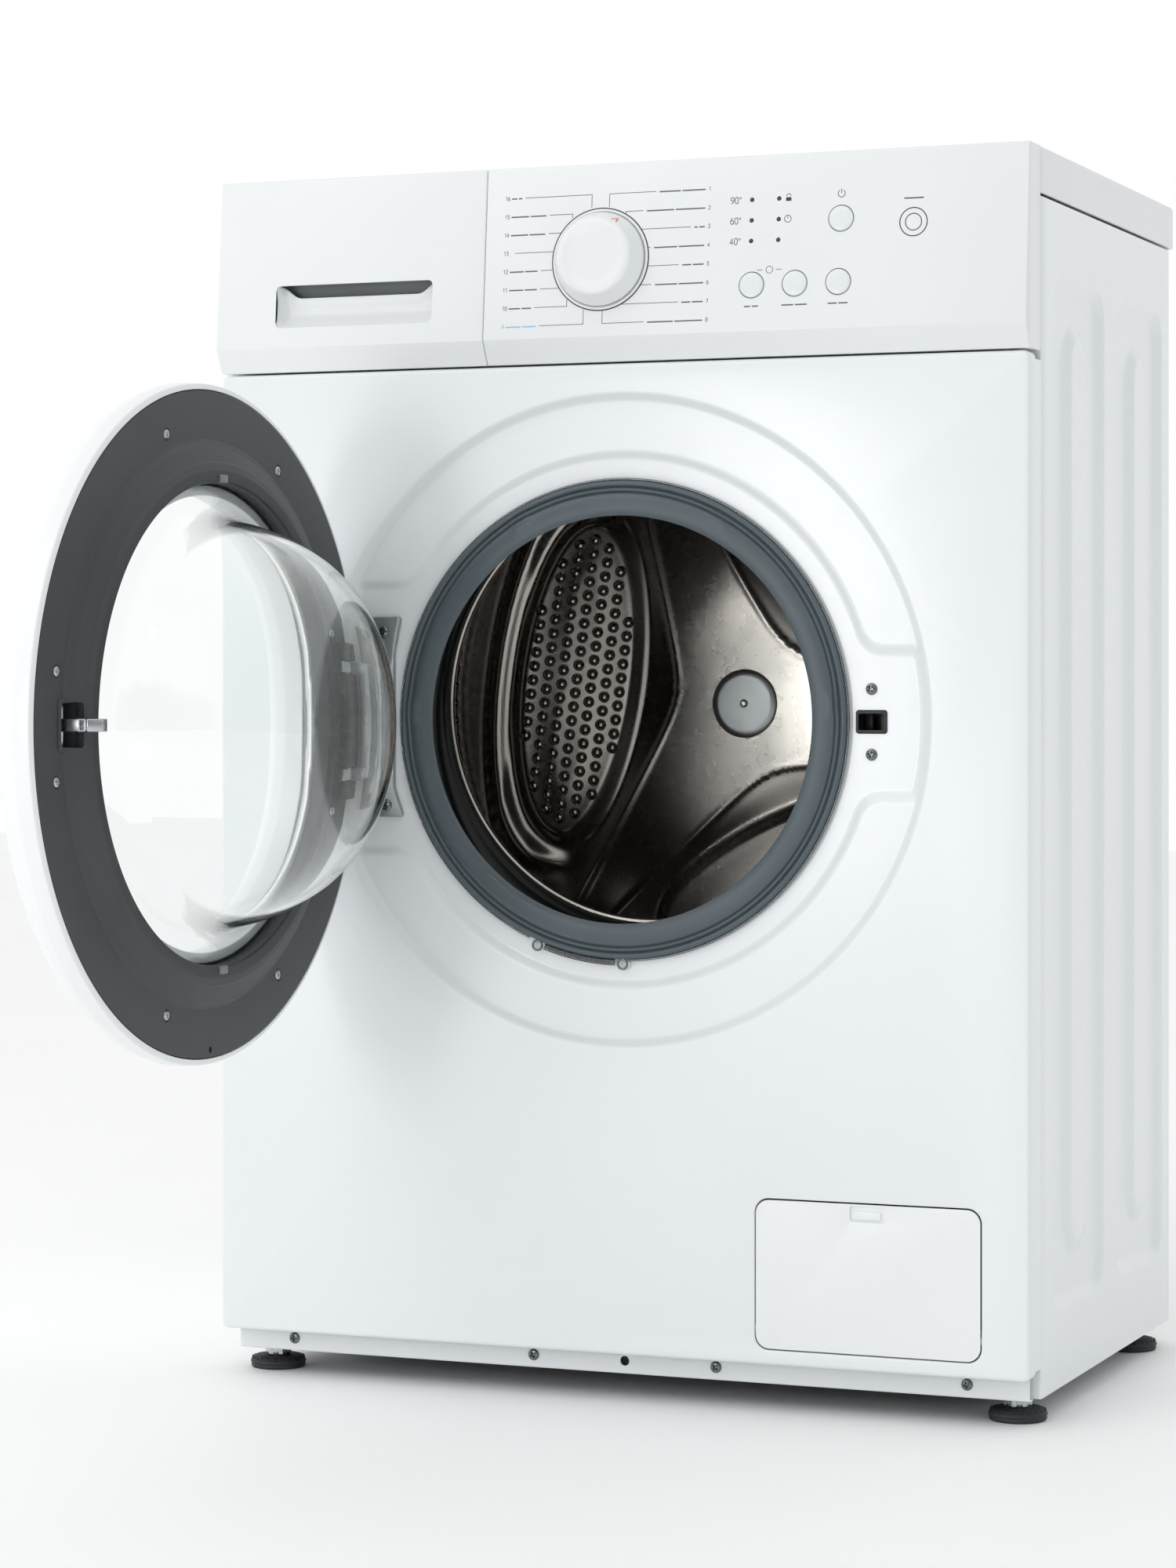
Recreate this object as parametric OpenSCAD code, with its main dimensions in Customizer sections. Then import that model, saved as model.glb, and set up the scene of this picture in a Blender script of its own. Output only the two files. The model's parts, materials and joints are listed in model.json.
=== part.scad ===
// Front-loading washing machine, narrow 6 kg type. Millimetres, +Z up.
// The origin is on the floor, under the middle of the front panel's face;
// -Y is the user's side and +X is the user's right. The door stands open.

/* [Cabinet] */
// Width over the side panels
cab_w = 595; // [595:1:600]
// Height from the floor to the worktop
cab_h = 850; // [850:1:852]
// Depth of the side panels, measured from the front panel's face
cab_d = 390; // [390:1:392]
// Depth to the back edge of the worktop
cover_d = 400; // [400:1:402]
// Thickness of the steel sheet
sheet = 1; // [0.8:0.1:1.2]
// Height of the cabinet's lower edge above the floor
floor_gap = 17; // [16:1:18]

/* [Front panel] */
// Depth of the folded edge at each side of the front panel
return_d = 28; // [26:1:28]
// Lower edge of the front panel
panel_z0 = 33.4; // [32:0.2:34]
// Upper edge of the front panel
panel_z1 = 712; // [711:0.5:712]
// Sideways place of the porthole
port_x = 6; // [5:0.5:7]
// Height of the porthole's centre
port_z = 468; // [467:0.5:468]
// Radius of the pressed ring that the door closes into
press_r = 225.7; // [225:0.1:227]
// Radius of the porthole
port_r = 158; // [158:0.5:158.5]

/* [Control panel] */
// How far the panel's lower edge stands proud
fascia_out = 8; // [7:0.5:8]
// Height of the panel's proud lower edge
fascia_z = 730; // [729:1:731]
// Split between the drawer front and the panel
split_x = -90.6; // [-91:0.2:-90]
// Knob centre, sideways
knob_x = -4.5; // [-5:0.5:-4]
// Knob centre, height
knob_z = 783; // [782:0.5:784]
// Radius of the push buttons
button_r = 8.8; // [8.5:0.1:9]
// Travel of the push buttons
button_travel = 1.5; // [1:0.5:2]

/* [Door] */
// How far the door stands open
door_open = 91.4; // [0:0.2:91.4]
// Hinge axis, sideways
hinge_x = -190.6; // [-191:0.1:-190]
// Hinge axis, in front of the panel
hinge_y = -10; // [-10.5:0.5:-10]
// Plane of the door's inner ring when it is shut
ring_y = -13; // [-13.5:0.5:-13]
// Height of the door's centre
door_z = 466; // [465:0.5:467]
// Outer radius of the inner ring
ring_r = 218.4; // [217:0.2:218.4]
// Radius of the glass bowl at its mouth
bowl_r = 135.5; // [134:0.5:136]
// Depth of the glass bowl
bowl_d = 107; // [104:1:107]

/* [Washing unit] */
// Height of the drum's axis
drum_z = 478; // [477:0.5:478]
// Outer radius of the drum
drum_r = 232; // [231:0.5:232]
// Front of the drum
drum_y0 = 66; // [66:0.5:67]
// Back sheet of the drum
drum_y1 = 260; // [259:0.5:260]
// Outer radius of the tub
tub_r = 246; // [246:0.5:247]
// Direction of the first pressed pad in the drum's back
pad_angle = 172; // [170:1:174]

/* [Hidden] */
$fn = 64;

half_w = cab_w / 2;
side_top = 817;
white = "whitesmoke";
lean = atan((fascia_out + 1.5) / (cab_h - 0.5 - fascia_z));
axis_x = port_x;

// 2D outline in X and Z, extruded between two depths
module yex(y0, y1) translate([0, y1, 0]) rotate([90, 0, 0]) linear_extrude(y1 - y0) children();
// 2D outline in Y and Z, extruded between two sideways places
module xex(x0, x1) translate([x0, 0, 0]) rotate([90, 0, 90]) linear_extrude(x1 - x0) children();
// 2D outline in X and Y, extruded between two heights
module zex(z0, z1) translate([0, 0, z0]) linear_extrude(z1 - z0) children();
// Profile of (radius, depth), turned about a line along Y
module yrev(x, z) translate([x, 0, z]) rotate([-90, 0, 0]) rotate_extrude($fn = 96) children();
// Cylinder along Y
module ycyl(x, z, r, y0, y1) translate([x, y0, z]) rotate([-90, 0, 0]) cylinder(r = r, h = y1 - y0);
// Rectangle with round corners, given by two opposite corners
module rr(a, b, c, d, r) {
    translate([a + r, b]) square([c - a - 2 * r, d - b]);
    translate([a, b + r]) square([c - a, d - b - 2 * r]);
    for (x = [a + r, c - r], y = [b + r, d - r]) translate([x, y]) circle(r);
}
// Plain rectangle, given by two opposite corners
module rect(a, b, c, d) translate([a, b]) square([c - a, d - b]);
// Lens shape, w wide and h tall
function lens_r(w, h) = (w * w + h * h) / (4 * w);
module lens(w, h) {
    r = lens_r(w, h);
    intersection() {
        translate([r - w / 2, 0]) circle(r, $fn = 96);
        translate([w / 2 - r, 0]) circle(r, $fn = 96);
    }
}

// ---------------------------------------------------------------- cabinet

// Places of the two embossed fields on a side panel
field_y = [[57, 196, 769], [231, 361, 769]];
plateau_y = [[90, 146, 728], [262, 312, 726]];
emboss = 4;

module side_panel() {
    skin = half_w - sheet;
    difference() {
        xex(skin, half_w) rect(return_d + 0.6, floor_gap, cab_d, side_top);
        for (f = field_y) xex(skin - 1, half_w + 1) rr(f[0], 69, f[1], f[2], 16);
    }
    for (i = [0, 1]) {
        f = field_y[i];
        p = plateau_y[i];
        xex(skin - emboss, half_w) difference() {
            rr(f[0] - 0.01, 69 - 0.01, f[1] + 0.01, f[2] + 0.01, 16);
            rr(f[0] + sheet, 69 + sheet, f[1] - sheet, f[2] - sheet, 15);
        }
        xex(skin - emboss, half_w - emboss) difference() {
            rr(f[0], 69, f[1], f[2], 16);
            rr(p[0], 110, p[1], p[2], 16);
        }
        xex(skin - emboss, half_w) difference() {
            rr(p[0] - 0.01, 110 - 0.01, p[1] + 0.01, p[2] + 0.01, 16);
            rr(p[0] + sheet, 110 + sheet, p[1] - sheet, p[2] - sheet, 15);
        }
        xex(skin - 1.5, half_w - 1.5) rr(p[0], 110, p[1], p[2], 16);
    }
    zex(side_top - sheet, side_top) rect(skin - 16, return_d + 0.6, skin + 0.1, cab_d);
    zex(floor_gap, floor_gap + sheet) rect(skin - 12, return_d + 0.6, skin + 0.1, cab_d);
    zex(floor_gap, side_top) {
        rect(skin - 16, return_d + 0.6, skin + 0.1, return_d + 0.6 + sheet);
        rect(skin - 12, cab_d - sheet, skin + 0.1, cab_d);
    }
}
module side_panel_right() color(white) side_panel();
module side_panel_left() color(white) mirror([1, 0, 0]) side_panel();

// Opening in the rear panel, behind the belt
hatch = [-174, 250, 186, 690];
// Gap between the rear panel's sheets: lower, upper and one at each side
seam = 0.1;

module rear_panel() color("silver") {
    difference() {
        yex(cab_d, cab_d + sheet) {
            rect(-287, floor_gap, 287, hatch[1]);
            rect(-287, hatch[3], 287, side_top - 2);
            rect(-287, hatch[1] + seam, hatch[0], hatch[3] - seam);
            rect(hatch[2], hatch[1] + seam, 287, hatch[3] - seam);
        }
        ycyl(valve_x, valve_z, 14.2, cab_d - 1, cab_d + 2);
        ycyl(drain_x, drain_z, 12.2, cab_d - 1, cab_d + 2);
        ycyl(gland_x, gland_z, 9.2, cab_d - 1, cab_d + 2);
    }
    for (z = [110, 215]) yex(cab_d + sheet, cab_d + 4) rr(-200, z - 6, 160, z + 6, 5.9);
}

module rear_cover() color("gainsboro") {
    difference() {
        yex(cab_d + sheet, cab_d + 2 * sheet)
            rr(hatch[0] - 15, hatch[1] - 15, hatch[2] + 15, hatch[3] + 15, 36);
        yex(cab_d, cab_d + 3) rr(hatch[0] + 15, hatch[1] + 15, hatch[2] - 15, hatch[3] - 15, 30);
    }
    yex(cab_d + sheet, cab_d + 7) difference() {
        rr(hatch[0] + 14.9, hatch[1] + 14.9, hatch[2] - 14.9, hatch[3] - 14.9, 30);
        rr(hatch[0] + 16, hatch[1] + 16, hatch[2] - 16, hatch[3] - 16, 29);
    }
    yex(cab_d + 6, cab_d + 7) rr(hatch[0] + 15, hatch[1] + 15, hatch[2] - 15, hatch[3] - 15, 30);
}

// Service flap opening in the front panel
flap = [106.7, 44.4, 264, 145];
// Pin that the flap turns on
flap_pin_y = 4.6;
flap_pin_z = 58;
flap_pin_r = 2.6;
// Door lock: centre of its slot, and how far its screws are from it
lock_x = 186;
lock_z = 467;
lock_screw = 22;
// Depths of the pressed ring and of the zone inside it
recess_a = 6;
recess_b = 9;
step_r = 182;

// Outline of the deeper zone: a disc with a hinge field and a lock field
module deep_zone(grow) intersection() {
    union() {
        translate([port_x, port_z]) circle(step_r + grow, $fn = 96);
        rect(-230, 375 - grow, -140, 562 + grow);
        rect(150, 417 - grow, 240, 515 + grow);
    }
    translate([port_x, port_z]) circle(press_r - 8 + grow, $fn = 96);
}

module front_panel() color(white) {
    difference() {
        zex(panel_z0, panel_z1) difference() {
            rr(-half_w, 0, half_w, return_d + 10, 4);
            rr(sheet - half_w, sheet, half_w - sheet, return_d + 9, 3);
            rect(-half_w - 1, return_d, half_w + 1, return_d + 11);
        }
        ycyl(port_x, port_z, press_r, -1, sheet + 1);
        yex(-1, sheet + 1) rr(flap[0] - 0.8, flap[1] - 0.8, flap[2] + 0.8, flap[3] + 0.8, 10);
    }
    yrev(port_x, port_z) polygon([[press_r + 0.01, 0], [press_r + 0.01, 1.1],
        [press_r - 5.9, recess_a + sheet], [press_r - 7, recess_a + sheet], [press_r - 7, recess_a],
        [press_r - 6, recess_a]]);
    difference() {
        ycyl(port_x, port_z, press_r - 6.5, recess_a, recess_a + sheet);
        yex(recess_a - 1, recess_a + 2) deep_zone(0);
    }
    yex(recess_a, recess_b + sheet) difference() {
        deep_zone(1.2);
        deep_zone(0);
    }
    difference() {
        yex(recess_b, recess_b + sheet) deep_zone(0.1);
        ycyl(port_x, port_z, port_r + sheet, recess_b - 1, recess_b + 2);
        yex(recess_b - 1, recess_b + 2) rect(lock_x - 11, lock_z - 8, lock_x + 11, lock_z + 8);
        for (s = [-lock_screw, lock_screw]) ycyl(lock_x, lock_z + s, 1.9, recess_b - 1, recess_b + 2);
    }
    yrev(port_x, port_z) rect(port_r, recess_b, port_r + sheet + 0.1, 17);
    for (z = [panel_z0, panel_z1 - sheet]) zex(z, z + sheet)
        rect(sheet - half_w, sheet / 2, half_w - sheet, z < 100 ? 14 : 20);
    difference() {
        yex(sheet, 11) difference() {
            rect(flap[0] - 2, flap[1] - 2, flap[2] + 2, flap[3] + 2);
            rect(flap[0] - 0.8, flap[1] - 3, flap[2] + 0.8, flap[3] + 0.8);
        }
        xex(flap[0] - 3, flap[2] + 3) translate([flap_pin_y, flap_pin_z]) circle(flap_pin_r + 0.08);
    }
}

strip_y = 20;
strip_screws = [-249, -64, 71, 249];

module kick_strip() color(white) difference() {
    union() {
        yex(strip_y, strip_y + sheet) rect(-292, floor_gap, 292, 60);
        zex(floor_gap, floor_gap + sheet) rect(-280, strip_y, 280, strip_y + 8);
    }
    for (x = strip_screws) ycyl(x, 26, 2.2, strip_y - 1, strip_y + 2);
    ycyl(4, 26, 3.5, strip_y - 1, strip_y + 2);
}

foot_x = 276;
foot_ys = [48, 350];

module base_frame() color("silver") difference() {
    union() {
        zex(floor_gap + 1.2, floor_gap + 3.2) difference() {
            rect(-294, 30.2, 294, cab_d - 2);
            rr(-245, 80, 245, cab_d - 60, 20);
        }
        for (s = [-1, 1]) {
            xex(min(s * 294, s * 292), max(s * 294, s * 292)) rect(32, floor_gap + 1.2, cab_d - 14, 62);
            for (y = foot_ys) translate([s * foot_x, y, floor_gap + 1.2]) cylinder(r = 9, h = 14);
            translate([s * damper_x - 8, damper_y - 14, floor_gap + 1.2]) cube([16, 28, 11]);
        }
        zex(floor_gap + 1.2, floor_gap + 3.2) rect(-246, damper_y - 14, 246, damper_y + 14);
        yex(30.2, 32.2) rect(-292, floor_gap + 1.2, 292, 40);
    }
    for (s = [-1, 1], y = foot_ys) translate([s * foot_x, y, floor_gap - 1]) cylinder(r = 5, h = 30);
}

module top_brace() color("silver") {
    skin = half_w - sheet;
    for (y = [[33, 62], [352, cab_d - 3]]) zex(812, 814) rect(-skin, y[0], skin, y[1]);
    yex(60, 62) rect(-90, 790, 270, 812.1);
    yex(352, 354) rect(-284, 792, 284, 812.1);
    for (s = [-1, 1]) {
        zex(812, 814) rect(min(s * skin, s * 272), 61, max(s * skin, s * 272), 353);
        difference() {
            yex(spring_y - 1.5, spring_y + 1.5) rect(min(s * 274, s * 290), 799, max(s * 274, s * 290), 812.1);
            ycyl(s * spring_x, eye_z[1], 2.6, spring_y - 3, spring_y + 3);
        }
    }
}

module top_cover() color(white) difference() {
    zex(818.3, cab_h) rr(-half_w, return_d, half_w, cover_d, 5);
    zex(817, cab_h - 4) rect(2.5 - half_w, return_d + 3, half_w - 2.5, cover_d - 3);
}

// ---------------------------------------------------------- control panel

// Depth of the panel's face at a height
function face_y(z) = -fascia_out + (z - fascia_z) * tan(lean);
// Places an upright shape square on the leaning face
module on_face(x, z) translate([x, face_y(z), z]) rotate([90 - lean, 0, 0]) children();

fascia_top = cab_h - 0.5;
module face_profile(back, t = 0) polygon([
    [face_y(fascia_top) + t + 1, fascia_top - t], [face_y(fascia_top) + t, fascia_top - 1 - t],
    [face_y(fascia_z) + t, fascia_z + t * 0.3], [0.2 + t * 0.7, 713.2 + t],
    [back + (t > 0 ? 1 : 0), 713.2 + t], [back + (t > 0 ? 1 : 0), fascia_top - t]]);

buttons = [[168.2, 803.6], [105.8, 761], [136.5, 761], [167.2, 761]];
led_cols = [104.7, 124];
led_rows = [819, 805, 791];
tray_x0 = -262;
tray_x1 = -107;

module control_panel() color(white) difference() {
    union() {
        difference() {
            xex(split_x, half_w) face_profile(return_d - 0.6);
            xex(split_x + 3, half_w - 3) face_profile(return_d - 0.6, 3);
        }
        xex(-half_w, split_x + 1) rect(15.5, 713.2, return_d - 0.6, fascia_top);
    }
    yex(14, return_d) rect(tray_x0 - 4, 721, tray_x1 + 4, 806);
    yex(14, return_d - 4) rect(3 - half_w, 809, split_x - 4, fascia_top - 3);
    on_face(knob_x, knob_z) translate([0, 0, -8]) cylinder(r = 7, h = 20);
    on_face(knob_x, knob_z) translate([0, 0, -0.6]) cylinder(r = 35.4, h = 5);
    for (b = buttons) on_face(b[0], b[1]) translate([0, 0, -8]) cylinder(r = button_r + 0.3, h = 20);
    for (x = led_cols, z = led_rows) on_face(x, z) translate([0, 0, -8]) cylinder(r = 1.6, h = 20);
}

pocket = [-251.5, 744, -130, 774];

module drawer_front() color(white) {
    difference() {
        union() {
            difference() {
                xex(-half_w, split_x - 0.5) face_profile(15);
                xex(3 - half_w, split_x - 3.5) face_profile(15, 3);
            }
            yex(-5.2, 15) rr(pocket[0] - 2.5, pocket[1] - 2.5, pocket[2] + 2.5, 792, 4);
        }
        yex(-20, 12.5) rr(pocket[0], pocket[1], pocket[2], pocket[3], 3);
        yex(-1.5, 12.5) rr(pocket[0], pocket[1], pocket[2], 789, 3);
    }
    difference() {
        yex(-3, 12.6) rect(pocket[0] - 0.1, pocket[1] - 0.1, pocket[2] + 0.1, pocket[1] + 14);
        translate([pocket[0] - 1, -2.4, pocket[1] + 15]) rotate([0, 90, 0]) cylinder(r = 14.4, h = 130);
    }
}

tray_z0 = 724;
tray_walls = [tray_x0 + 50, tray_x0 + 100];

module drawer_tray() color("lightsteelblue") difference() {
    yex(15, 236) rect(tray_x0, tray_z0, tray_x1, 800);
    difference() {
        yex(17.2, 233.8) rect(tray_x0 + 2.2, tray_z0 + 2.2, tray_x1 - 2.2, 801);
        for (x = tray_walls) xex(x - 1, x + 1) rect(16, tray_z0, 235, 796);
    }
}

outlet_x = -150;
outlet_y = 195;

module dispenser_housing() color("lightgrey") difference() {
    union() {
        yex(return_d, 243) rect(tray_x0 - 5, 718.5, tray_x1 + 5, 808.5);
        translate([outlet_x, outlet_y, 702]) cylinder(r = 10, h = 17);
        translate([-150, 242, 790]) rotate([-90, 0, 0]) cylinder(r = 8, h = 18);
    }
    yex(return_d - 1, 240.5) rect(tray_x0 - 2.6, 721, tray_x1 + 2.6, 806);
    translate([outlet_x, outlet_y, 701]) cylinder(r = 8, h = 21);
    translate([-150, 239, 790]) rotate([-90, 0, 0]) cylinder(r = 6, h = 22);
}

sump_x = 165;
sump_y = 110;

// Ribbed sleeve about an upright axis
module bellows(x, y, z0, z1, r, t, ribs) translate([x, y, 0]) rotate_extrude() {
    rect(r, z0, r + t, z1);
    for (i = [1 : ribs]) translate([r + t, z0 + i * (z1 - z0) / (ribs + 1)]) circle(1.6, $fn = 24);
}

module inner_hoses() color("dimgray") {
    bellows(outlet_x, outlet_y, 685, 716, 10.1, 2.2, 4);
    bellows(sump_x, sump_y, 150, 268, 15.1, 2.4, 10);
}

knob_h = 15;

module programme_knob() color(white) on_face(knob_x, knob_z) {
    rotate_extrude($fn = 96)
        polygon([[0, 1], [32.3, 1], [32.3, 3], [27, knob_h - 2], [25.3, knob_h], [0, knob_h]]);
    translate([0, 0, -14]) cylinder(r = 6.4, h = 15.5);
}

module push_button(i) on_face(buttons[i][0], buttons[i][1]) {
    translate([0, 0, -6.5]) cylinder(r = button_r, h = 9.5);
    translate([0, 0, -6.5]) cylinder(r = button_r + 2.2, h = 2);
}
module power_button() color("gainsboro") push_button(0);
module option_button_a() color("gainsboro") push_button(1);
module option_button_b() color("gainsboro") push_button(2);
module option_button_c() color("gainsboro") push_button(3);

module light_guides() color("lightcyan") for (x = led_cols, z = led_rows) on_face(x, z)
    translate([0, 0, -9.5]) cylinder(r = 1.5, h = 9.8);

module ui_board() color("darkgreen") {
    on_face(75, 787) translate([-112, -55, -18]) cube([230, 96, 1.6]);
    on_face(knob_x, knob_z) translate([-10, -10, -16.4]) cube([20, 20, 2.2]);
    for (x = led_cols, z = led_rows) on_face(x, z) translate([-2, -2, -16.5]) cube([4, 4, 6.8]);
    for (b = buttons) on_face(b[0], b[1]) translate([-3, -3, -16.5]) cube([6, 6, 6]);
}

module main_board() color("darkgreen") {
    yex(70, 74) rr(-80, 745, 60, 805, 4);
    for (x = [-70, 40]) yex(62, 70.1) rect(x, 793, x + 10, 803);
    translate([-70, 74, 752]) cube([120, 26, 2]);
    for (x = [-60, -20, 22]) translate([x, 74, 754]) cube([24, 20, 30]);
}

// -------------------------------------------------------------------- door

// Turns what is drawn for the shut door to the door's open place
module open_door() translate([hinge_x, hinge_y, 0]) rotate([0, 0, -door_open])
    translate([-hinge_x, -hinge_y, 0]) children();
// Profile of (radius, distance behind the ring's plane) for a round door part
module door_turn() translate([0, ring_y, 0]) yrev(port_x, door_z) children();
// Plane that trims the door's hinge side
trim_x = hinge_x - 7;
module door_side(gap = 0) translate([trim_x + gap, -200, 0]) cube([900, 400, 900]);

// Circle and directions of the screws that hold the ring to the shell
screw_r = 195;
screw_angles = [-161, -119, -73, -10, 10, 73, 119, 161];

module door_outer_frame() color(white) open_door() {
    intersection() {
        union() {
            door_turn() polygon([[ring_r + 0.6, 0], [222.6, -1.5], [223.5, -12], [221, -20], [213, -30],
                [200, -38], [185, -42], [170, -42], [159, -38], [152, -30], [149, -20], [149, -5.2],
                [158, -5.2], [158, -26], [164, -35], [171, -39], [184.5, -39], [198.5, -35.3],
                [211, -27.6], [218, -18.6], [220.2, -12], [219.6, -4], [218.9, -3.4]]);
            intersection() {
                door_turn() polygon([[156, -5.2], [219, -3.6], [221, -12], [218, -18.6], [211, -27.6],
                    [198.5, -35.3], [184, -40], [171, -40], [163, -35], [156, -26]]);
                translate([trim_x, -200, 0]) cube([3, 400, 900]);
            }
        }
        door_side();
    }
    for (a = screw_angles) translate([port_x + screw_r * cos(a), 0, door_z + screw_r * sin(a)])
        rotate([-90, 0, 0]) difference() {
            translate([0, 0, ring_y - 37]) cylinder(r = 4.5, h = 34);
            translate([0, 0, ring_y - 16]) cylinder(r = 1.9, h = 14);
        }
}

// Hinge knuckles: heights of the two arms of the bracket
arm_z = [[424, 432.6], [501, 509.4]];
pin_r = 3;
hook_x = 186;
hook_z = 467;

// Room in the shut door for the hinge casting
well_x = -168.2;
well_z = [418, 516];

module door_inner_ring() color("dimgray") open_door() difference() {
    union() {
        difference() {
            intersection() {
                union() {
                    door_turn() polygon([[ring_r, 0], [186, 0], [181, 3.6], [171.5, 7.2], [166, 9], [158.6, 9],
                        [157.8, 8], [157.8, -1], [160.6, -1], [160.6, 6], [166, 6], [171, 4.2], [180, 0.6],
                        [185, -3], [217, -3], [ring_r, -2]]);
                    intersection() {
                        door_turn()
                            polygon([[190, 0], [186, 0], [181, 3.6], [171.5, 7.2], [171.3, -3], [190, -3]]);
                        yex(ring_y - 4, ring_y + 9) rect(trim_x, well_z[0] - 2, well_x + 2, well_z[1] + 2);
                    }
                }
                door_side();
            }
            yex(ring_y, ring_y + 20) rect(trim_x - 1, well_z[0], well_x, well_z[1]);
        }
        for (z = [[410, 423.4], [433.2, 500.4], [510, 523]]) zex(z[0], z[1]) {
            rect(trim_x, ring_y - 3, hinge_x + 5, hinge_y);
            translate([hinge_x, hinge_y]) circle(5);
            rect(trim_x, hinge_y - 1, hinge_x, hinge_y + 4.6);
        }
        yex(ring_y - 14, ring_y - 2) rr(hook_x - 8.8, hook_z - 17, hook_x + 12, hook_z + 17, 3);
    }
    translate([hinge_x, hinge_y, 400]) cylinder(r = pin_r, h = 140);
    for (z = arm_z) translate([hinge_x, hinge_y, z[0] - 0.6]) cylinder(r = 8.6, h = z[1] - z[0] + 1.2);
    for (a = screw_angles) translate([port_x + screw_r * cos(a), ring_y - 6, door_z + screw_r * sin(a)])
        rotate([-90, 0, 0]) cylinder(r = 2.2, h = 12);
    yex(ring_y - 11, ring_y + 20) rr(hook_x - 7.5, hook_z - 14, hook_x + 9.5, hook_z + 14, 2);
    translate([hook_x, ring_y - 5, hook_z - 15.2]) cylinder(r = 2.06, h = 30.4);
    ycyl(port_x, door_z - 213, 1.8, ring_y - 6, ring_y + 6);
}

// Glass bowl: a blunt dome, with a flare where it leaves the ring
glass_t = 4;
dome_steps = [for (a = [15 : 7.5 : 82.5]) a];
function dome(a, r, deep) = [r * pow(cos(a), 0.554), deep * pow(sin(a), 1.299)];
flare_steps = [for (a = [0 : 15 : 75]) a];
function flare(a, r, out, deep) = [r + out * (1 - sin(a)), deep * (1 - cos(a))];

module door_glass() color("lightblue", 0.35) open_door() door_turn() polygon(concat(
    [[171, -5], [171, -1.05], [157.5, -1.05]],
    [for (a = flare_steps) flare(a, bowl_r - 0.8, 22, 17)],
    [for (a = dome_steps) dome(a, bowl_r, bowl_d)],
    [[0, bowl_d], [0, bowl_d - glass_t]],
    [for (i = [len(dome_steps) - 1 : -1 : 0]) dome(dome_steps[i], bowl_r - glass_t, bowl_d - glass_t)],
    [for (i = [len(flare_steps) - 1 : -1 : 0]) flare(flare_steps[i], bowl_r - 0.8 - glass_t, 22, 13)
        - [0, i < 3 ? 4 - i : 0]]));

module door_hook() color("silver") open_door() {
    difference() {
        yex(ring_y - 9, ring_y + 12) rect(hook_x - 6, hook_z - 4, hook_x + 6, hook_z + 4);
        yex(ring_y + 13, ring_y + 60) rect(hook_x - 20, hook_z - 9, hook_x + 20, hook_z + 9);
    }
    zex(hook_z - 4, hook_z + 4) polygon([[hook_x - 6, ring_y + 11], [hook_x + 1.5, ring_y + 11],
        [hook_x + 1.5, ring_y + 15], [hook_x + 6, ring_y + 17], [hook_x + 1, ring_y + 26],
        [hook_x - 4, ring_y + 26], [hook_x - 6, ring_y + 22]]);
    translate([hook_x, ring_y - 5, hook_z - 15]) cylinder(r = 2, h = 30);
}

// Seat and screws of the hinge casting
seat_y = recess_b;
hinge_screws = [[-172, 529], [-170, 407.5]];

module hinge_bracket() color("darkgray") difference() {
    union() {
        yex(seat_y - 4, seat_y) difference() {
            polygon([[-184, 540], [-159, 540], [-165, 514], [-165, 420], [-157, 399], [-182, 399]]);
            for (p = hinge_screws) translate(p) circle(2.2);
        }
        zex(arm_z[0][0], arm_z[1][1]) rect(-181.8, hinge_y - 1.5, -170.5, seat_y - 3.9);
        for (z = arm_z) zex(z[0], z[1]) {
            translate([hinge_x, hinge_y]) circle(6.5);
            rect(hinge_x, hinge_y - 1.5, -175, hinge_y + 6.5);
        }
    }
    translate([hinge_x, hinge_y, 400]) cylinder(r = pin_r + 0.06, h = 140);
}

module hinge_pin() color("silver") translate([hinge_x, hinge_y, 411]) cylinder(r = pin_r, h = 111);

module door_lock() color([0.1, 0.1, 0.1]) difference() {
    union() {
        yex(recess_b + sheet, 33) rr(lock_x - 17, lock_z - 36, lock_x + 28, lock_z + 36, 3);
        yex(recess_b - 0.8, recess_b + sheet + 0.1)
            rect(lock_x - 10.9, lock_z - 7.9, lock_x + 10.9, lock_z + 7.9);
    }
    yex(recess_b - 2, 30) rect(lock_x - 9, lock_z - 6, lock_x + 9, lock_z + 6);
    for (s = [-lock_screw, lock_screw]) ycyl(lock_x, lock_z + s, 1.7, recess_b, 26);
}

module door_screws() color("silver") open_door() for (a = screw_angles)
    translate([port_x + screw_r * cos(a), ring_y, door_z + screw_r * sin(a)]) rotate([-90, 0, 0]) {
        cylinder(r = 4, h = 1.6);
        translate([0, 0, -13]) cylinder(r = 1.9, h = 13.5);
    }

module gasket() color("slategray") yrev(port_x, port_z) polygon([
    [139.6, 2.6], [146, 1.7], [154, 2.4], [161.5, 2.2], [163, 4], [163, 8.8], [157.8, 8.8],
    [157.8, 17.3], [161.5, 17.3], [161.5, 21], [157, 22.5], [157, 28], [160, 33], [167, 36.5], [174, 37.5],
    [177.5, 40], [177.5, 51], [173.2, 51], [173.2, 43.6], [169.8, 43.6], [169.8, 57], [166, 57],
    [165.4, 41.8], [158, 38], [153.4, 31], [152.6, 22], [154.2, 11], [147, 6.6], [141, 6], [139.4, 4.6]]);

module gasket_clamp() color("silver") translate([port_x, 6.2, port_z]) {
    rotate([-90, 0, 0]) rotate([0, 0, 112]) rotate_extrude(angle = 338, $fn = 96)
        translate([164.5, 0]) circle(1, $fn = 24);
    rotate([-90, 0, 0]) rotate([0, 0, 91]) rotate_extrude(angle = 20.5, $fn = 96)
        translate([165.6, 0]) circle(2.2, $fn = 24);
}

// ------------------------------------------------------------ washing unit

module unit(y = 0) translate([0, y, 0]) yrev(axis_x, drum_z) children();

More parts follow.
